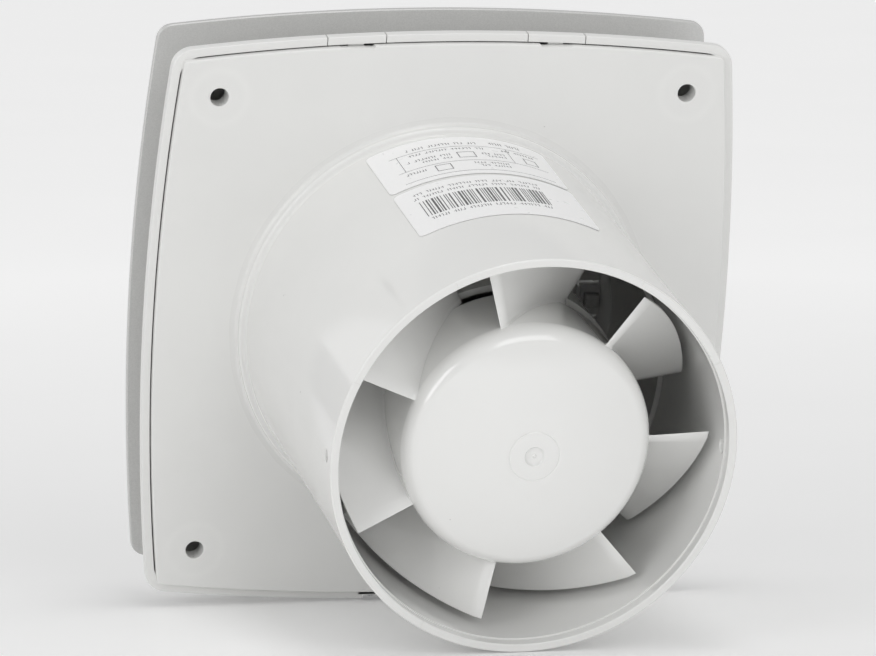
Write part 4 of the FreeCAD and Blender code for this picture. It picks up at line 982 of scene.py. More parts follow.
@dataclass
class RearHousing:
    """Back plate and duct spigot as the one moulding they are, in millimetres.

    Attributes:
        plate_half: half the plate, 0.08 under the CAD's so that the seam round it reads.
        plate_thick: the plate's thickness.
        plate_corner: radius of its corners.
        spigot_r: outside of the spigot's straight part.
        root_r: outside of the spigot above its root ring.
        ring_r: outside of the root ring.
        ring_height: how far the ring stands off the plate.
        straight_from: where the taper ends.
        length: the spigot's length.
        bore_r: its bore.
        mouth_r: its bore at the mouth, where it is a little wider.
        mouth_depth: how deep that wider part is.
        wall_hole: the wall screws' holes, across and in height.
        wall_hole_r: radius of those holes.
        boss_r: outside of the boss behind each.
        boss_height: how far a boss stands off the plate.
        cable_hole: radius, x and z of the supply cable's hole.
        clamp_posts: x of the two posts that the cord grip screws to, and their common z.
        carrier_circle: radius of the circle that the motor carrier's screws stand on.
        screw_r: bore for a small self-tapping screw.
        flap_hole_r: radius of the pivot holes near the mouth.
        flap_hole_y: their place along the spigot.
        mouth_marks: angles of the shallow marks on the mouth's rim.
        notch_x: middle of the hook notches in the top edge.
        notch_width: their width.
        notch_depth: their depth.
        seam: the inside of the cover's rim.
    """

    plate_half: float = 68.52
    plate_thick: float = 2.4
    plate_corner: float = 0.8
    spigot_r: float = 49.5
    root_r: float = 50.1
    ring_r: float = 51.8
    ring_height: float = 2.4
    straight_from: float = 63.5
    length: float = 95.3
    bore_r: float = 47.1
    mouth_r: float = 47.45
    mouth_depth: float = 3.0
    wall_hole: float = 59.5
    wall_hole_r: float = 2.3
    boss_r: float = 6.5
    boss_height: float = 3.0
    cable_hole: Point = (5.6, -56.0, -33.0)
    clamp_posts: Point = (-55.8, -44.2, -47.0)
    carrier_circle: float = 49.6
    screw_r: float = 1.2
    flap_hole_r: float = 1.5
    flap_hole_y: float = 90.4
    mouth_marks: tuple[int, ...] = (24, 63, 118, 152, 301)
    notch_x: float = 25.4
    notch_width: float = 8.7
    notch_depth: float = 0.3
    seam: BowedSquare = BowedSquare(68.85, 1.05)

    def shell(self) -> Solid:
        """Return the plate and spigot as one closed surface, before any hole is made."""
        front, corner = -self.plate_thick, self.plate_corner
        step, bend = self.length - self.mouth_depth, 6
        circles = eased([
            (self.bore_r, step, 0.15), (self.mouth_r, step, 0.1),
            (self.mouth_r, self.length, 0.35), (self.spigot_r, self.length, 0.45),
            (self.spigot_r, self.straight_from, 0), (self.root_r, self.ring_height + 0.3, 0.75),
            (self.ring_r, self.ring_height, 0.75),
            (self.ring_r, 0, 0.9), (self.ring_r + 4, 0, 0), (self.bore_r, front, 0.3)], bend)
        edge = eased([(self.plate_half - 6, 0, 0), (self.plate_half, 0, 0.35),
                      (self.plate_half, front, 0.25), (self.plate_half - 6, front, 0)], 4)
        # The last corner of the circles, with its bend, lies inside the plate's own edge.
        inner = -(bend + 1)
        rings = [round_ring(r, y) for r, y in circles[:inner]]
        rings += [BowedSquare(half, corner).ring(y) for half, y in edge]
        rings += [round_ring(r, y) for r, y in circles[inner:]]
        return looped(rings)

    def cutters(self) -> list[Solid]:
        """Return the cutters for every hole and notch."""
        top = BowedSquare(self.plate_half, self.plate_corner)
        cuts = []
        for sx in SIDES:
            for sz in SIDES:
                cuts.append(flared_drill(self.wall_hole_r, -self.plate_thick, 0, 0.15,
                                         sx * self.wall_hole, sz * self.wall_hole))
        cable_r, cable_x, cable_z = self.cable_hole
        cuts.append(flared_drill(cable_r, -self.plate_thick, 0, 0.1, cable_x, cable_z))
        for side in SIDES:
            middle = side * self.notch_x
            edge = top.height(self.notch_x)
            cuts.append(block((middle - self.notch_width / 2, -4, edge - self.notch_depth),
                              (middle + self.notch_width / 2, 2, edge + 3), 0.3))
            drill = flared_drill(self.flap_hole_r, 0, 2.1, 0.1, 0, 0)
            turned = [(side * (y + self.bore_r + 0.2), x + self.flap_hole_y, z)
                      for x, y, z in drill.points]
            cuts.append(Solid(turned, drill.faces))
        mark = block((self.mouth_r - 1, self.length - 0.1, -0.11),
                     (self.spigot_r + 1, self.length + 1, 0.11))
        cuts += [mark.turned(turn) for turn in self.mouth_marks]
        for turn in (90, 210, 330):
            x = self.carrier_circle * math.cos(math.radians(turn))
            z = self.carrier_circle * math.sin(math.radians(turn))
            cuts.append(lathed([(0, -5), (self.screw_r, -5), (self.screw_r, 1.2), (0, 1.2)], x, z, 32))
        return cuts

    def fittings(self) -> list[Solid]:
        """Return the bosses, posts and catches on the plate's room side."""
        front = -self.plate_thick
        pieces = []
        for sx in SIDES:
            for sz in SIDES:
                profile = eased([(self.wall_hole_r, front + 0.2, 0), (self.boss_r, front + 0.2, 0),
                                 (self.boss_r, front - self.boss_height, 0.4),
                                 (self.wall_hole_r, front - self.boss_height, 0.3)])
                pieces.append(lathed(profile, sx * self.wall_hole, sz * self.wall_hole, 48))
        post = eased([(self.screw_r, front + 0.2, 0), (2.2, front + 0.2, 0), (2.2, -6.0, 0.1),
                      (self.screw_r, -6.0, 0)])
        pieces += [lathed(post, x, self.clamp_posts[2], 40) for x in self.clamp_posts[:2]]
        inner = self.seam.height(self.notch_x)
        low = inner - 1.6
        for side in SIDES:
            x0, x1 = side * self.notch_x - 2.0, side * self.notch_x + 2.0
            pieces.append(block((x0, -4.6, low - 2.2), (x1, -1.9, low - 0.2), 0.2))
            pieces.append(block((x0, -4.6, low - 0.4), (x1, -3.8, inner - 0.6), 0.2))
        return pieces

    def build(self, wardrobe: Wardrobe) -> bpy.types.Object:
        """Build, dress and place the housing.

        Args:
            wardrobe: the fan's finishes.

        Returns:
            The housing's object.
        """
        whole = self.shell().without(self.cutters()).plus(*self.fittings(), self.screw_block())
        mesh = dressed(whole.mesh("housing"), wardrobe.get(wardrobe.housing))
        return placed("housing", mesh, "casing", ["back_plate", "duct_spigot"])

    def screw_block(self) -> Solid:
        """Return the block that the cover's screw bites into."""
        low = -BowedSquare(self.plate_half, self.plate_corner).height(SCREW_X) + 0.6
        shape = block((SCREW_X - 3.6, -7.6, low), (SCREW_X + 3.6, -2.2, low + 9.3), 0.3)
        # The block's underside slopes as the cover's shoulder does.
        points = [(x, y, max(z, low + max(0.0, (-y - 4.7) * 1.078))) for x, y, z in shape.points]
        hole = upright_rod(1.4, low - 2, low + 7.2, SCREW_X, SCREW_Y)
        return Solid(points, shape.faces).without([hole])


@dataclass
class FrontCover:
    """Moulded cover between the plate and the panel, in millimetres.

    Attributes:
        rim_half: half the cover at its rim.
        rim_inner: half the opening that the plate sits in.
        inner_corner: radius of that opening's corners.
        rim_corner: radius of the rim's outer corners.
        rim_rear: the rim's edge towards the wall.
        rim_front: where the rim ends and the shoulder begins.
        face_half: half the cover where the shoulder meets the face.
        face_corner: radius of the face's corners.
        face: the outside of the face.
        face_thick: thickness of the face.
        throat_r: radius of the inlet.
        collar_r: outside of the inlet's collar.
        collar_end: the collar's edge towards the wall.
        hook_x: middle of the hooks that hold the top edge.
        slit_reach: from a hook's middle to the slits beside it.
        slit_width: width of a slit.
        cord_place: x, y and lowest z of the cord bush's hole.
        lead_places: x and z of the places where the leads pass through the collar.
    """

    rim_half: float = 70.8
    rim_inner: float = 68.85
    inner_corner: float = 1.05
    rim_corner: float = 5.5
    rim_rear: float = -1.7
    rim_front: float = -4.7
    face_half: float = 58.0
    face_corner: float = 5.0
    face: float = -17.0
    face_thick: float = 2.0
    throat_r: float = 45.6
    collar_r: float = 46.9
    collar_end: float = -4.7
    hook_x: float = 25.4
    slit_reach: float = 7.4
    slit_width: float = 0.25
    cord_place: Point = (43.0, -6.9, -75.9)
    lead_places: tuple[Flat, ...] = ((-11.9, -45.0), (30.5, -28.6))

    def corner(self, half: float) -> float:
        """Return the corner radius that goes with an outline's size."""
        if half <= self.rim_inner + 0.01:
            share = (half - self.face_half) / (self.rim_inner - self.face_half)
            return self.face_corner + (self.inner_corner - self.face_corner) * max(0.0, share)
        share = (half - self.rim_inner) / (self.rim_half - self.rim_inner)
        return self.inner_corner + (self.rim_corner - self.inner_corner) * share

    def shell(self) -> Solid:
        """Return the rim, shoulder, face and collar as one closed surface."""
        outside = eased([(self.rim_inner, self.rim_rear, 0), (self.rim_half, self.rim_rear, 0.3),
                         (self.rim_half, self.rim_front, 1.2), (self.face_half, self.face, 3.0),
                         (self.face_half - 8, self.face, 0)], 5)
        throat = eased([(self.face_half - 8, self.face, 0), (self.throat_r, self.face, 0.7),
                        (self.throat_r, self.collar_end, 0.3), (self.collar_r, self.collar_end, 0.3),
                        (self.collar_r, self.face + self.face_thick, 0)], 4)
        inside = [(self.face_half, self.face + self.face_thick), (self.rim_inner, self.rim_front)]
        rings = [BowedSquare(half, self.outer_corner(half)).ring(y) for half, y in outside[:-1]]
        rings += [round_ring(r, y) for r, y in throat[1:]]
        rings += [BowedSquare(half, self.corner(half)).ring(y) for half, y in inside]
        return looped(rings)

    def outer_corner(self, half: float) -> float:
        """Return the outer surface's corner radius for an outline's size."""
        if half >= self.rim_half - 0.6:
            return self.rim_corner - (self.rim_half - half)
        share = (half - self.face_half) / (self.rim_half - self.face_half)
        return self.face_corner + (self.rim_corner - self.face_corner) * max(0.0, min(1.0, share))

    def lands(self) -> Solid:
        """Return the four lugs that carry the panel's spring catches."""
        land = block((37.5, self.face, -8.2), (46.6, self.face + self.face_thick, 8.2), 0.25)
        window = block((41.3, -20, -1.9), (45.1, -12, 1.9))
        end = block((39.3, -20, -5.2), (40.5, -12, 5.2))
        sides = [block((40.0, -20, side - 0.6), (46.2, -12, side + 0.6)) for side in (-4.6, 4.6)]
        carved = land.without([window, end]).without(sides)
        return Solid().plus(*[carved.turned(angle) for angle in (0, 90, 180, 270)])

    def build(self, wardrobe: Wardrobe) -> bpy.types.Object:
        """Build, dress and place the cover.

        Args:
            wardrobe: the fan's finishes.

        Returns:
            The cover's object.
        """
        rim = BowedSquare(self.rim_half, self.rim_corner)
        floor = -(rim.height(SCREW_X) - 1.0)
        cuts = [block((SCREW_X - 2.8, -8.6, floor - 5), (SCREW_X + 2.8, 1, floor))]
        for side in SIDES:
            for end in SIDES:
                x = side * self.hook_x + end * self.slit_reach
                cuts.append(block((x - self.slit_width / 2, self.rim_front - 2.2, rim.height(x) - 5.3),
                                  (x + self.slit_width / 2, 0, rim.height(x) + 1)))
        cord_x, cord_y, cord_low = self.cord_place
        cuts.append(upright_rod(2.4, cord_low, cord_low + 12, cord_x, cord_y, 40))
        gap = block((42.6, -8.2, -3.0), (49.9, -2.4, 3.0))
        cuts += [gap.turned(math.degrees(math.atan2(z, x))) for x, z in self.lead_places]
        shell = self.shell().without(cuts)
        pad = block((SCREW_X - 4.2, -8.6, floor), (SCREW_X + 4.2, self.rim_rear, floor + 1.35), 0.2)
        pad = pad.without([upright_rod(1.6, floor - 2, floor + 4, SCREW_X, SCREW_Y)])
        inner = BowedSquare(self.rim_inner, self.inner_corner).height(self.hook_x)
        hooks = [block((side * self.hook_x - 2, -3.5, inner - 1.6),
                       (side * self.hook_x + 2, -2.6, inner + 0.6), 0.15) for side in SIDES]
        whole = shell.plus(pad, self.lands(), *hooks)
        mesh = dressed(whole.mesh("cover"), wardrobe.get(wardrobe.cover))
        return placed("cover", mesh, "casing", ["front_cover"])


@dataclass
class FrontPanel:
    """Flat painted panel with four studs, in millimetres.

    Attributes:
        half: half the panel.
        corner: radius of its corners.
        rear: its face towards the wall.
        thick: its thickness.
        edge_round: radius of its front edge.
        stud_radius: distance of the studs from the axis.
        stud_width: width of a stud's stem.
        stud_step: where the stem ends and the nose goes on.
        stud_end: end of the nose.
        tip_width: width of the nose.
    """

    half: float = 70.25
    corner: float = 4.0
    rear: float = -24.8
    thick: float = 2.4
    edge_round: float = 1.2
    stud_radius: float = 43.2
    stud_width: float = 5.0
    stud_step: float = -17.0
    stud_end: float = -13.0
    tip_width: float = 3.4

    def build(self, wardrobe: Wardrobe, copies: RingOfCopies) -> bpy.types.Object:
        """Build, dress and place the panel.

        Args:
            wardrobe: the fan's finishes.
            copies: repeats the stud.

        Returns:
            The panel's object.
        """
        front = self.rear - self.thick
        profile = eased([(self.half - 8, self.rear, 0), (self.half, self.rear, 0.35),
                         (self.half, front, self.edge_round), (self.half - 8, front, 0)], 6)
        rings = [BowedSquare(half, max(0.5, self.corner - (self.half - half))).ring(y)
                 for half, y in profile]
        paint = wardrobe.get(wardrobe.paint)
        plate = looped(rings, closed=False).mesh("panel_plate")
        wide, tip, r = self.stud_width / 2, self.tip_width / 2, self.stud_radius
        stem = block((r - wide, self.rear - 0.4, -wide), (r + wide, self.stud_step, wide), 0.3)
        nose = block((r - tip, self.stud_step - 0.4, -tip), (r + tip, self.stud_end, tip), 0.55)
        studs = copies.made("panel_studs", stem.plus(nose).mesh("stud"), 4, 0.0, paint)
        mesh = dressed(merged("panel", plate, studs), paint)
        return placed("panel", mesh, "panel", ["front_panel"])


@dataclass
class Impeller:
    """Domed hub with seven blades, in millimetres.

    Attributes:
        hub_r: outside of the hub.
        wall: thickness of its wall.
        skirt: its open end.
        apex: the top of its dome.
        crown_r: radius of the dome.
        corner_r: radius where the dome turns into the skirt.
        mark_r: outside this radius the dome is plain; inside it is the gate's mark.
        blades: number of blades.
        first: where the first blade's rear edge stands, in degrees.
        sweep: how far round a blade goes, in degrees.
        rear: a blade's edge nearer the mouth.
        front: its edge nearer the room.
        camber: how far its middle stands off the line between its edges.
        thick: its thickness.
        tip_rear: reach of its tip at the rear edge.
        tip_front: reach of its tip at the front edge.
        mean_r: the radius at which its slope is measured.
        edge_share: thickness of its two edges, as a share of the middle's.
        root_fillet: radius of the fillet at its root.
        ribs: number of ribs inside the hub.
    """

    hub_r: float = 30.4
    wall: float = 1.6
    skirt: float = 64.6
    apex: float = 94.6
    crown_r: float = 80.0
    corner_r: float = 5.0
    mark_r: float = 7.0
    blades: int = 7
    first: float = 74.4
    sweep: float = 44.0
    rear: float = 86.35
    front: float = 60.6
    camber: float = 0.85
    thick: float = 1.4
    tip_rear: float = 45.0
    tip_front: float = 45.8
    mean_r: float = 38.0
    edge_share: float = 0.16
    root_fillet: float = 0.7
    ribs: int = 6

    def crown(self, inset: float, steps: int) -> list[Flat]:
        """Points of the hub's outside from the axis to its skirt.

        Args:
            inset: how far inside the surface.
            steps: points along the crown.

        Returns:
            (radius, y) points.
        """
        radius, crown, corner = self.hub_r - inset, self.crown_r - inset, self.corner_r - inset
        centre = self.apex - self.crown_r
        corner_x = radius - corner
        corner_y = centre + math.sqrt((crown - corner) ** 2 - corner_x ** 2)
        lean = math.atan2(corner_x, corner_y - centre)
        points = [(crown * math.sin(lean * k / steps), centre + crown * math.cos(lean * k / steps))
                  for k in range(steps + 1)]
        bend = 12
        for k in range(1, bend + 1):
            angle = lean + (math.pi / 2 - lean) * k / bend
            points.append((corner_x + corner * math.sin(angle), corner_y + corner * math.cos(angle)))
        return points

    def hub(self) -> Solid:
        """Return the domed shell with its gate mark."""
        outside = self.crown(0.0, 40)
        pit = ((0.0, 0.36), (0.3, 0.4), (0.46, 0.52), (0.55, 0.7), (1.9, 0.68), (2.2, 0.5),
               (2.45, 0.1), (2.7, 0.045))
        groove = ((5.75, 0.0), (5.92, 0.05), (6.1, 0.16), (6.28, 0.05), (6.45, 0.0))
        detailed: list[Flat] = [(radius, self.apex - drop) for radius, drop in pit]
        for radius, drop in groove:
            detailed.append((radius, self.apex - radius ** 2 / (2 * self.crown_r) - drop))
        detailed += [(r, y) for r, y in outside if r > self.mark_r]
        inside = self.crown(self.wall, 24)
        inner_r = self.hub_r - self.wall
        lip = eased([(outside[-1][0], self.skirt + 2, 0), (self.hub_r, self.skirt, 0.4),
                     (inner_r, self.skirt, 0.3), (inner_r, self.skirt + 2, 0)], 4)
        return lathed(detailed + lip + inside[::-1], count=160)

    def blade(self) -> Solid:
        """Return one blade with a fillet at its root, its middle on the +X side."""
        # Each station: its radius (0 at the tip, whose radius varies), its swell and its inset.
        stations: list[tuple[float, float, float]] = []
        for lift in (0.0, 0.06, 0.18, 0.35, self.root_fillet):
            left = self.root_fillet - lift
            swell = self.root_fillet - math.sqrt(max(0.0, self.root_fillet ** 2 - left ** 2))
            stations.append((self.hub_r + lift - (0.5 if lift == 0 else 0), swell, 0.0))
        for share in (0.15, 0.4, 0.7, 0.93):
            stations.append((self.hub_r + share * (self.tip_rear - self.hub_r), 0.0, 0.0))
        stations += [(0.0, 0.0, -0.3), (0.0, -0.08, -0.1), (0.0, -0.3, 0.0)]
        count = 25
        rings = []
        for radius, swell, tip in stations:
            upper, lower = [], []
            for index in range(count):
                part = index / (count - 1)
                edge = self.edge_share if index in (0, count - 1) else 1.0
                half = (self.thick / 2 + swell) * edge
                angle = math.radians(self.sweep) * (part - 0.5)
                drop = self.front - self.rear
                y = self.rear + drop * part - self.camber * 4 * part * (1 - part)
                slope = drop - self.camber * 4 * (1 - 2 * part)
                tip_r = self.tip_rear + (self.tip_front - self.tip_rear) * part + tip
                reach = radius or tip_r
                run = math.radians(self.sweep) * self.mean_r
                length = math.hypot(slope, run)
                turn, lift = -slope / length * half, run / length * half
                for side, row in ((1, upper), (-1, lower)):
                    bend = angle + side * turn / reach
                    height = min(max(y + side * lift, self.front), self.rear)
                    row.append((reach * math.cos(bend), height, reach * math.sin(bend)))
            rings.append(upper + lower[::-1])
        return looped(rings, closed=False)

    def build(self, wardrobe: Wardrobe, copies: RingOfCopies) -> bpy.types.Object:
        """Build, dress and place the impeller.

        Args:
            wardrobe: the fan's finishes.
            copies: repeats the blades and the ribs.

        Returns:
            The impeller's object.
        """
        finish = wardrobe.get(wardrobe.impeller)
        hub = self.hub().plus(self.boss()).mesh("hub", sharp=40.0)
        blades = copies.made("blades", self.blade().mesh("blade", sharp=50.0), self.blades,
                             self.first + self.sweep / 2, finish)
        rib = block((5.5, 76.0, -0.6), (29.6, 88.6, 0.6), 0.15)
        top = self.crown(self.wall / 2, 40)
        # The upper points of a rib are raised into the dome's wall.
        fitted = []
        for x, y, z in rib.points:
            limit = next((h for r, h in top if r >= x), top[-1][1])
            fitted.append((x, min(y if y < 80 else 99.0, limit), z))
        ribs = copies.made("ribs", Solid(fitted, rib.faces).mesh("rib"), self.ribs, 0.0, finish)
        mesh = dressed(merged("fan_wheel", hub, blades, ribs), finish)
        return placed("fan_wheel", mesh, "rotor", ["impeller"])

    def boss(self) -> Solid:
        """Return the boss that holds the brass insert."""
        bore, outer, low, high = 4.0, 7.0, 67.0, 93.4
        profile = eased([(bore, low, 0.2), (outer, low, 0.4), (outer, high, 0), (bore, high, 0)])
        return lathed(profile, count=64)


@dataclass
class SpigotLabel:
    """A label laid on the top of the spigot, with generic printing, in millimetres.

    Attributes:
        name: the piece's name.
        node: the CAD node it stands for.
        start: the end nearer the wall.
        end: the end nearer the mouth.
        marks: makes the printed marks as (u0, u1, v0, v1) in the label's own plane.
        half_angle: half of what it covers, in degrees.
        turn: where its middle is, from straight up towards +X, in degrees.
        corner: radius of its corners.
        reach_r: the radius at which distances round the spigot are measured.
        paper: thickness of the paper.
        sunk: height at which the marks' undersides lie, inside the paper.
        printed: height of the marks' tops.
    """

    name: str
    node: str
    start: float
    end: float
    marks: Callable[[], list[Mark]]
    half_angle: float = 26.5
    turn: float = 1.0
    corner: float = 1.6
    reach_r: float = 50.0
    paper: float = 0.15
    sunk: float = 0.11
    printed: float = 0.175

    def radius(self, y: float) -> float:
        """Return the radius of the label's underside at a distance from the wall."""
        spigot = RearHousing
        taper_from = spigot.ring_height + 0.3
        share = min(max((y - taper_from) / (spigot.straight_from - taper_from), 0.0), 1.0)
        return spigot.root_r - (spigot.root_r - spigot.spigot_r) * share + 0.1

    def on_spigot(self, u: float, v: float, lift: float) -> Point:
        """Place a point of the label's plane on the spigot.

        Args:
            u: distance round the spigot from the label's middle, towards -X.
            v: distance from the wall.
            lift: height above the label's underside.

        Returns:
            The point.
        """
        angle = math.radians(90.0 - self.turn) + u / self.reach_r
        r = self.radius(v) + lift
        return (r * math.cos(angle), v, r * math.sin(angle))

    def patch(self, u0: float, u1: float, v0: float, v1: float, low: float, high: float,
              corner: float = 0.0) -> Solid:
        """A thin closed patch that follows the spigot.

        Args:
            u0: its start round the spigot.
            u1: its end round the spigot.
            v0: its start along the spigot.
            v1: its end along the spigot.
            low: height of its underside.
            high: height of its top.
            corner: radius of its corners.

        Returns:
            The patch.
        """
        column_width = 1.2
        columns = max(1, round(abs(u1 - u0) / column_width))
        rows = [v0, v1]
        if corner:
            arc = [corner * (1 - math.cos(math.radians(15 * k))) for k in range(7)]
            rows = sorted({v0 + drop for drop in arc} | {v1 - drop for drop in arc})
        sides = []
        for height in (low, high):
            grid = []
            for v in rows:
                past = max(0.0, corner - min(v - v0, v1 - v))
                pull = corner - math.sqrt(max(0.0, corner ** 2 - past ** 2))
                grid.append([self.on_spigot(u0 + pull + (u1 - u0 - 2 * pull) * k / columns, v, height)
                             for k in range(columns + 1)])
            sides.append(grid)
        wide = columns + 1
        points = [p for grid in sides for row in grid for p in row]
        layer = wide * len(rows)
        faces: list[tuple[int, ...]] = []
        for r in range(len(rows) - 1):
            for c in range(columns):
                a = r * wide + c
                faces.append((a, a + 1, a + wide + 1, a + wide))
                faces.append(tuple(layer + k for k in (a, a + wide, a + wide + 1, a + 1)))
        rim = [c for c in range(wide)] + [r * wide + columns for r in range(1, len(rows))]
        rim += [(len(rows) - 1) * wide + c for c in range(columns - 1, -1, -1)]
        rim += [r * wide for r in range(len(rows) - 2, 0, -1)]
        for a, b in zip(rim, rim[1:] + rim[:1]):
            faces.append((a, layer + a, layer + b, b))
        return Solid(points, faces)

    def build(self, wardrobe: Wardrobe) -> bpy.types.Object:
        """Build, dress and place the label.

        Args:
            wardrobe: the fan's finishes.

        Returns:
            The label's object.
        """
        reach = math.radians(self.half_angle) * self.reach_r
        paper = self.patch(-reach, reach, self.start, self.end, 0.0, self.paper, self.corner)
        sheet = paper.mesh(self.name + "_sheet")
        marks = Solid().plus(*[self.patch(*mark, self.sunk, self.printed) for mark in self.marks()])
        printed = marks.mesh(self.name + "_marks")
        split = len(sheet.polygons)
        mesh = dressed(merged(self.name, sheet, printed), wardrobe.get(wardrobe.paper),
                       wardrobe.get(wardrobe.ink))
        for polygon in mesh.polygons:
            polygon.material_index = 0 if polygon.index < split else 1
        return placed(self.name, mesh, "casing", [self.node])


def word_line(chance: random.Random, start: float, end: float, low: float,
              high: float) -> list[Mark]:
    """A line of fine strokes that stands for small print.

    Args:
        chance: the source of the strokes' lengths.
        start: where the line starts, round the spigot.
        end: where it ends.
        low: its edge nearer the mouth.
        high: its edge nearer the wall.

    Returns:
        The strokes.
    """
    marks: list[Mark] = []
    place, stroke, letter_gap, word_gap = start, 0.16, 0.3, 0.9
    while place > end:
        for _ in range(chance.randint(3, 7)):
            width = chance.choice((0.34, 0.5, 0.62))
            marks.append((place, place - stroke, low, high))
            level = chance.choice((low, (low + high - stroke) / 2, high - stroke))
            marks.append((place, place - width, level, level + stroke))
            place -= width + letter_gap
            if place <= end:
                break
        place -= word_gap
    return marks


def boxed(left: float, right: float, low: float, high: float,
          line: float = 0.2) -> list[Mark]:
    """Return the four lines of an empty box."""
    return [(left, right, low, low + line), (left, right, high - line, high),
            (left, left - line, low, high), (right + line, right, low, high)]


def rating_marks() -> list[Mark]:
    """Return the rating label's generic lines and boxes."""
    chance = random.Random(7)
    lines = (
        (15.5, 8.0, 8.2, 9.8), (4.0, -13.5, 9.2, 10.5), (18.0, 9.5, 13.4, 14.5),
        (5.0, -14.0, 13.2, 14.3), (9.6, 3.8, 17.0, 18.2), (9.6, 4.4, 19.0, 20.0),
        (-4.2, -15.0, 17.0, 18.2), (-4.2, -12.0, 19.2, 20.2), (9.0, 0.5, 24.0, 25.2),
        (9.0, 1.5, 26.2, 27.2), (-12.0, -18.0, 24.4, 25.6),
    )
    boxes = ((2.0, -2.4, 16.4, 20.4), (-5.6, -9.6, 23.8, 27.8), (18.0, 14.6, 16.6, 20.8))
    rule, row_low, row_high = 0.12, 12.0, 22.6
    marks = [(20.0, -18.5, v, v + rule) for v in (row_low, row_high, 30.0)]
    marks += [(u, u - rule, row_low, row_high) for u in (11.2, -16.5)]
    for box in boxes:
        marks += boxed(*box)
    for line in lines:
        marks += word_line(chance, *line)
    return marks


def barcode_marks() -> list[Mark]:
    """Return the second label's lines of print and its plain bars."""
    chance = random.Random(11)
    left, right = 12.5, -19.0
    marks = word_line(chance, left, right, 37.8, 39.0)
    marks += word_line(chance, left, right, 40.4, 41.6)
    place = left
    while place > right:
        width = chance.choice((0.2, 0.2, 0.36, 0.5))
        marks.append((place, place - width, 43.4, 53.4))
        place -= width + chance.choice((0.34, 0.34, 0.5, 0.72))
    marks += word_line(chance, 12.0, -18.0, 54.6, 56.0)
    return marks


class Innards:
    """The CAD nodes that keep their shape, with the finish of each."""

    def finishes(self, wardrobe: Wardrobe) -> dict[str, object]:
        """Return each node's finish by the node's name."""
        w = wardrobe
        groups = (
            (w.carrier, ("motor_carrier",)),
            (w.sheets, ("stator_core", "coil_limb", "rotor_core")),
            (w.bar, ("shading_rings",)),
            (w.wire, ("motor_coil",)),
            (w.epoxy, ("thermal_fuse",)),
            (w.nylon, ("coil_bobbin", "cable_clamp", "terminal_block", "switch_body", "switch_lid")),
            (w.acetal, ("switch_plunger", "cord_bush")),
            (w.casting, ("rear_bridge", "front_bridge")),
            (w.bronze, ("rear_bearing", "front_bearing")),
            (w.aluminium, ("rotor_end_rings",)),
            (w.ground_steel, ("rotor_spacers", "rotor_shaft", "switch_spring")),
            (w.brass, ("hub_insert", "terminal_inserts", "switch_contacts")),
            (w.screw_steel, ("motor_bolts", "carrier_screws", "cover_screw", "clamp_screws",
                             "terminal_screws")),
            (w.rubber, ("cable_grommet",)),
            (w.blue_sheath, ("neutral_lead",)),
            (w.brown_sheath, ("switched_lead", "live_lead")),
        )
        return {name: finish for finish, names in groups for name in names}

    def dress(self, wardrobe: Wardrobe) -> None:
        """Give every remaining CAD node its finish.

        Args:
            wardrobe: the fan's finishes.
        """
        for name, finish in self.finishes(wardrobe).items():
            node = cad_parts[name]
            node.data.materials.clear()
            node.data.materials.append(wardrobe.get(finish))
            LOG.info("%s: dressed in %s", name, finish.name)


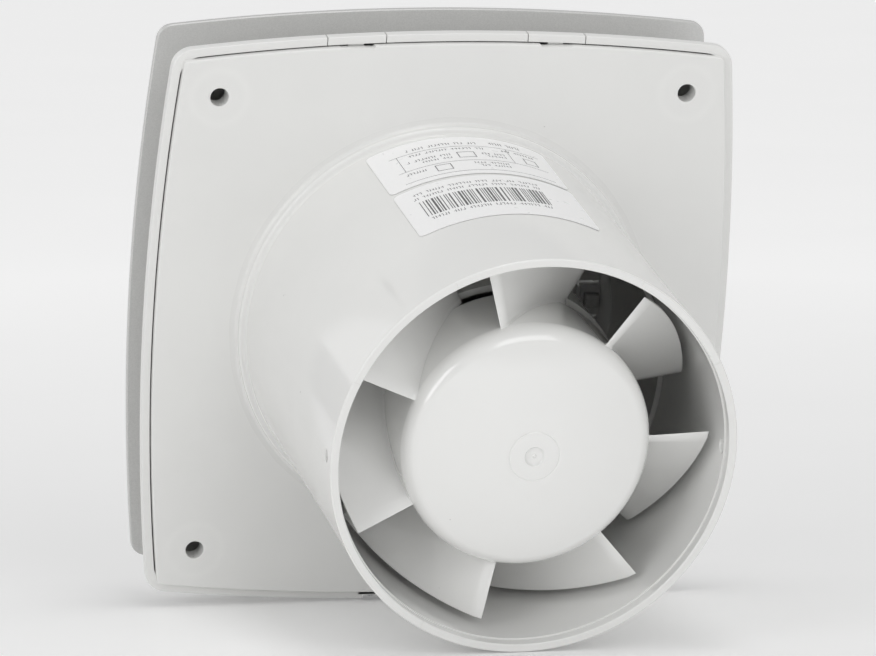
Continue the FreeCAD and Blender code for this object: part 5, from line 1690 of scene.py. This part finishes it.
# --- Studio ------------------------------------------------------------------------------
@dataclass
class Studio:
    """Floor, lights, surroundings and camera, in metres.

    Attributes:
        floor_normal: the floor's upward direction; the fan rests on its mouth and plate edge.
        floor_offset: the floor's height along that direction.
        floor_size: the floor's width.
        floor_tone: its mean brightness.
        near_glow: light that the floor gives off close to the fan.
        far_glow: light that it gives off far away, as a lit backdrop does.
        glow_reach: distances between which the glow grows.
        sky_tone: brightness of the surroundings as they light the fan.
        backdrop: colour of the surroundings as they are seen.
        overhead_power: power of the small softbox above, in watts.
        left_power: power of the softbox at the +X side.
        front_power: power of the softbox in front of the mouth.
        back_power: power of the softbox behind the panel.
        lens: focal length in millimetres on a 36 mm sensor.
        camera_at: where the camera stands.
        camera_right: the direction to the right of the picture.
        camera_up: the direction to the top of the picture.
        camera_forward: the direction it looks in.
        nudge_right: small correction of that direction, to the right.
        nudge_up: the same, upwards.
    """

    floor_normal: Vector = field(default_factory=lambda: Vector((0.0, -0.2557, 0.9668)))
    floor_offset: float = -0.07225
    floor_size: float = 30.0
    floor_tone: float = 0.95
    near_glow: float = 0.075
    far_glow: float = 0.30
    glow_reach: Flat = (0.12, 1.1)
    sky_tone: float = 0.565
    backdrop: Colour = (0.85, 0.85, 0.855)
    overhead_power: float = 1.6
    left_power: float = 2.15
    front_power: float = 1.6
    back_power: float = 0.35
    lens: float = 239.0
    camera_at: Vector = field(default_factory=lambda: Vector((0.3560, 1.3272, 0.4788)))
    camera_right: Vector = field(default_factory=lambda: Vector((-0.969, 0.2377, 0.067)))
    camera_up: Vector = field(default_factory=lambda: Vector((-0.0186, -0.336, 0.9417)))
    camera_forward: Vector = field(default_factory=lambda: Vector((-0.2445, -0.9117, -0.3302)))
    nudge_right: float = -0.00018
    nudge_up: float = 0.00026

    def floor(self) -> None:
        """Add the floor that the fan rests on, which shows only from above."""
        normal = self.floor_normal.normalized()
        along = Vector((1.0, 0.0, 0.0))
        across = normal.cross(along)
        middle = normal * self.floor_offset
        half = self.floor_size / 2
        corners = [middle + along * a * half + across * b * half
                   for a, b in ((-1, -1), (1, -1), (1, 1), (-1, 1))]
        mesh = bpy.data.meshes.new("floor")
        mesh.from_pydata(corners, [], [(0, 1, 2, 3)])
        made = bpy.data.objects.new("floor", mesh)
        bpy.context.scene.collection.objects.link(made)
        bench = Bench("floor_white")
        tone = bench.spread(bench.noise(6.0, 2.0), self.floor_tone - 0.01, self.floor_tone + 0.01)
        colour = bench.node("ShaderNodeCombineColor", {0: tone, 1: tone, 2: tone}).outputs[0]
        away = bench.node("ShaderNodeVectorMath", {0: bench.place}, operation="LENGTH")
        glow = bench.spread(away.outputs["Value"], self.near_glow, self.far_glow, *self.glow_reach)
        material = bench.surface(colour, 0.5, None, Specular_IOR_Level=0.25)
        bench.shader.inputs["Emission Color"].default_value = (1.0, 1.0, 1.0, 1.0)
        bench.tree.links.new(glow, bench.shader.inputs["Emission Strength"])
        clear = bench.node("ShaderNodeBsdfTransparent")
        side = bench.node("ShaderNodeNewGeometry").outputs["Backfacing"]
        mixed = bench.node("ShaderNodeMixShader",
                           {0: side, 1: bench.shader.outputs[0], 2: clear.outputs[0]})
        bench.tree.links.new(mixed.outputs[0], bench.tree.nodes["Material Output"].inputs["Surface"])
        mesh.materials.append(material)

    def soft_light(self, name: str, at: Vector, size: Flat, power: float, aim: Vector) -> None:
        """Add a softbox.

        Args:
            name: the light's name.
            at: where it is.
            size: its width and height.
            power: its power in watts.
            aim: the point it faces.
        """
        data = bpy.data.lights.new(name, "AREA")
        data.shape, data.size, data.size_y = "RECTANGLE", size[0], size[1]
        data.energy = power
        lamp = bpy.data.objects.new(name, data)
        lamp.location = at
        lamp.rotation_mode = "QUATERNION"
        lamp.rotation_quaternion = (aim - at).to_track_quat("-Z", "Y")
        bpy.context.scene.collection.objects.link(lamp)

    def surroundings(self) -> None:
        """Fill the studio with even pale light."""
        world = bpy.data.worlds.new("studio")
        world.use_nodes = True
        tree = world.node_tree
        back = tree.nodes["Background"]
        back.inputs["Color"].default_value = (self.sky_tone, self.sky_tone, self.sky_tone, 1.0)
        back.inputs["Strength"].default_value = 1.0
        seen = tree.nodes.new("ShaderNodeBackground")
        seen.inputs["Color"].default_value = (*self.backdrop, 1.0)
        path = tree.nodes.new("ShaderNodeLightPath")
        mix = tree.nodes.new("ShaderNodeMixShader")
        tree.links.new(path.outputs["Is Camera Ray"], mix.inputs[0])
        tree.links.new(back.outputs[0], mix.inputs[1])
        tree.links.new(seen.outputs[0], mix.inputs[2])
        tree.links.new(mix.outputs[0], tree.nodes["World Output"].inputs["Surface"])
        bpy.context.scene.world = world
        bpy.context.scene.view_settings.view_transform = "Standard"

    def camera(self) -> None:
        """Add the camera."""
        data = bpy.data.cameras.new("camera")
        data.lens, data.sensor_width = self.lens, 36.0
        data.clip_start, data.clip_end = 0.01, 100.0
        made = bpy.data.objects.new("camera", data)
        look = (self.camera_forward + self.camera_right * self.nudge_right
                + self.camera_up * self.nudge_up)
        back = -look.normalized()
        right = self.camera_up.cross(back).normalized()
        turn = Matrix((right, back.cross(right), back)).transposed()
        made.matrix_world = Matrix.Translation(self.camera_at) @ turn.to_4x4()
        bpy.context.scene.collection.objects.link(made)
        bpy.context.scene.camera = made

    def build(self) -> None:
        """Set up the whole studio."""
        self.camera()
        self.floor()
        self.surroundings()
        aim = Vector((0.0, 0.04, 0.0))
        up = self.floor_normal.normalized()
        side = Vector((1.0, 0.0, 0.0))
        toward = side.cross(up) * -1
        boxes = (
            ("overhead", (0.0, 1.0, 0.25), (0.34, 0.22), self.overhead_power),
            ("left_box", (1.0, 0.35, 0.7), (0.5, 0.6), self.left_power),
            ("front_box", (-0.16, 0.52, 1.0), (0.62, 0.5), self.front_power),
            ("back_box", (0.42, 0.38, -0.9), (0.5, 0.4), self.back_power),
        )
        for name, (right, height, near), size, power in boxes:
            self.soft_light(name, aim + side * right + up * height + toward * near, size, power, aim)


def main() -> None:
    """Build the fan and its studio, and report each piece."""
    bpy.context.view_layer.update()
    wardrobe = Wardrobe()
    copies = RingOfCopies()
    Studio().build()
    Innards().dress(wardrobe)
    RearHousing().build(wardrobe)
    FrontCover().build(wardrobe)
    FrontPanel().build(wardrobe, copies)
    Impeller().build(wardrobe, copies)
    SpigotLabel("rating_sticker", "rating_label", 5.0, 32.4, rating_marks).build(wardrobe)
    SpigotLabel("bar_sticker", "barcode_label", 34.2, 62.6, barcode_marks).build(wardrobe)


if __name__ == "__main__":
    main()
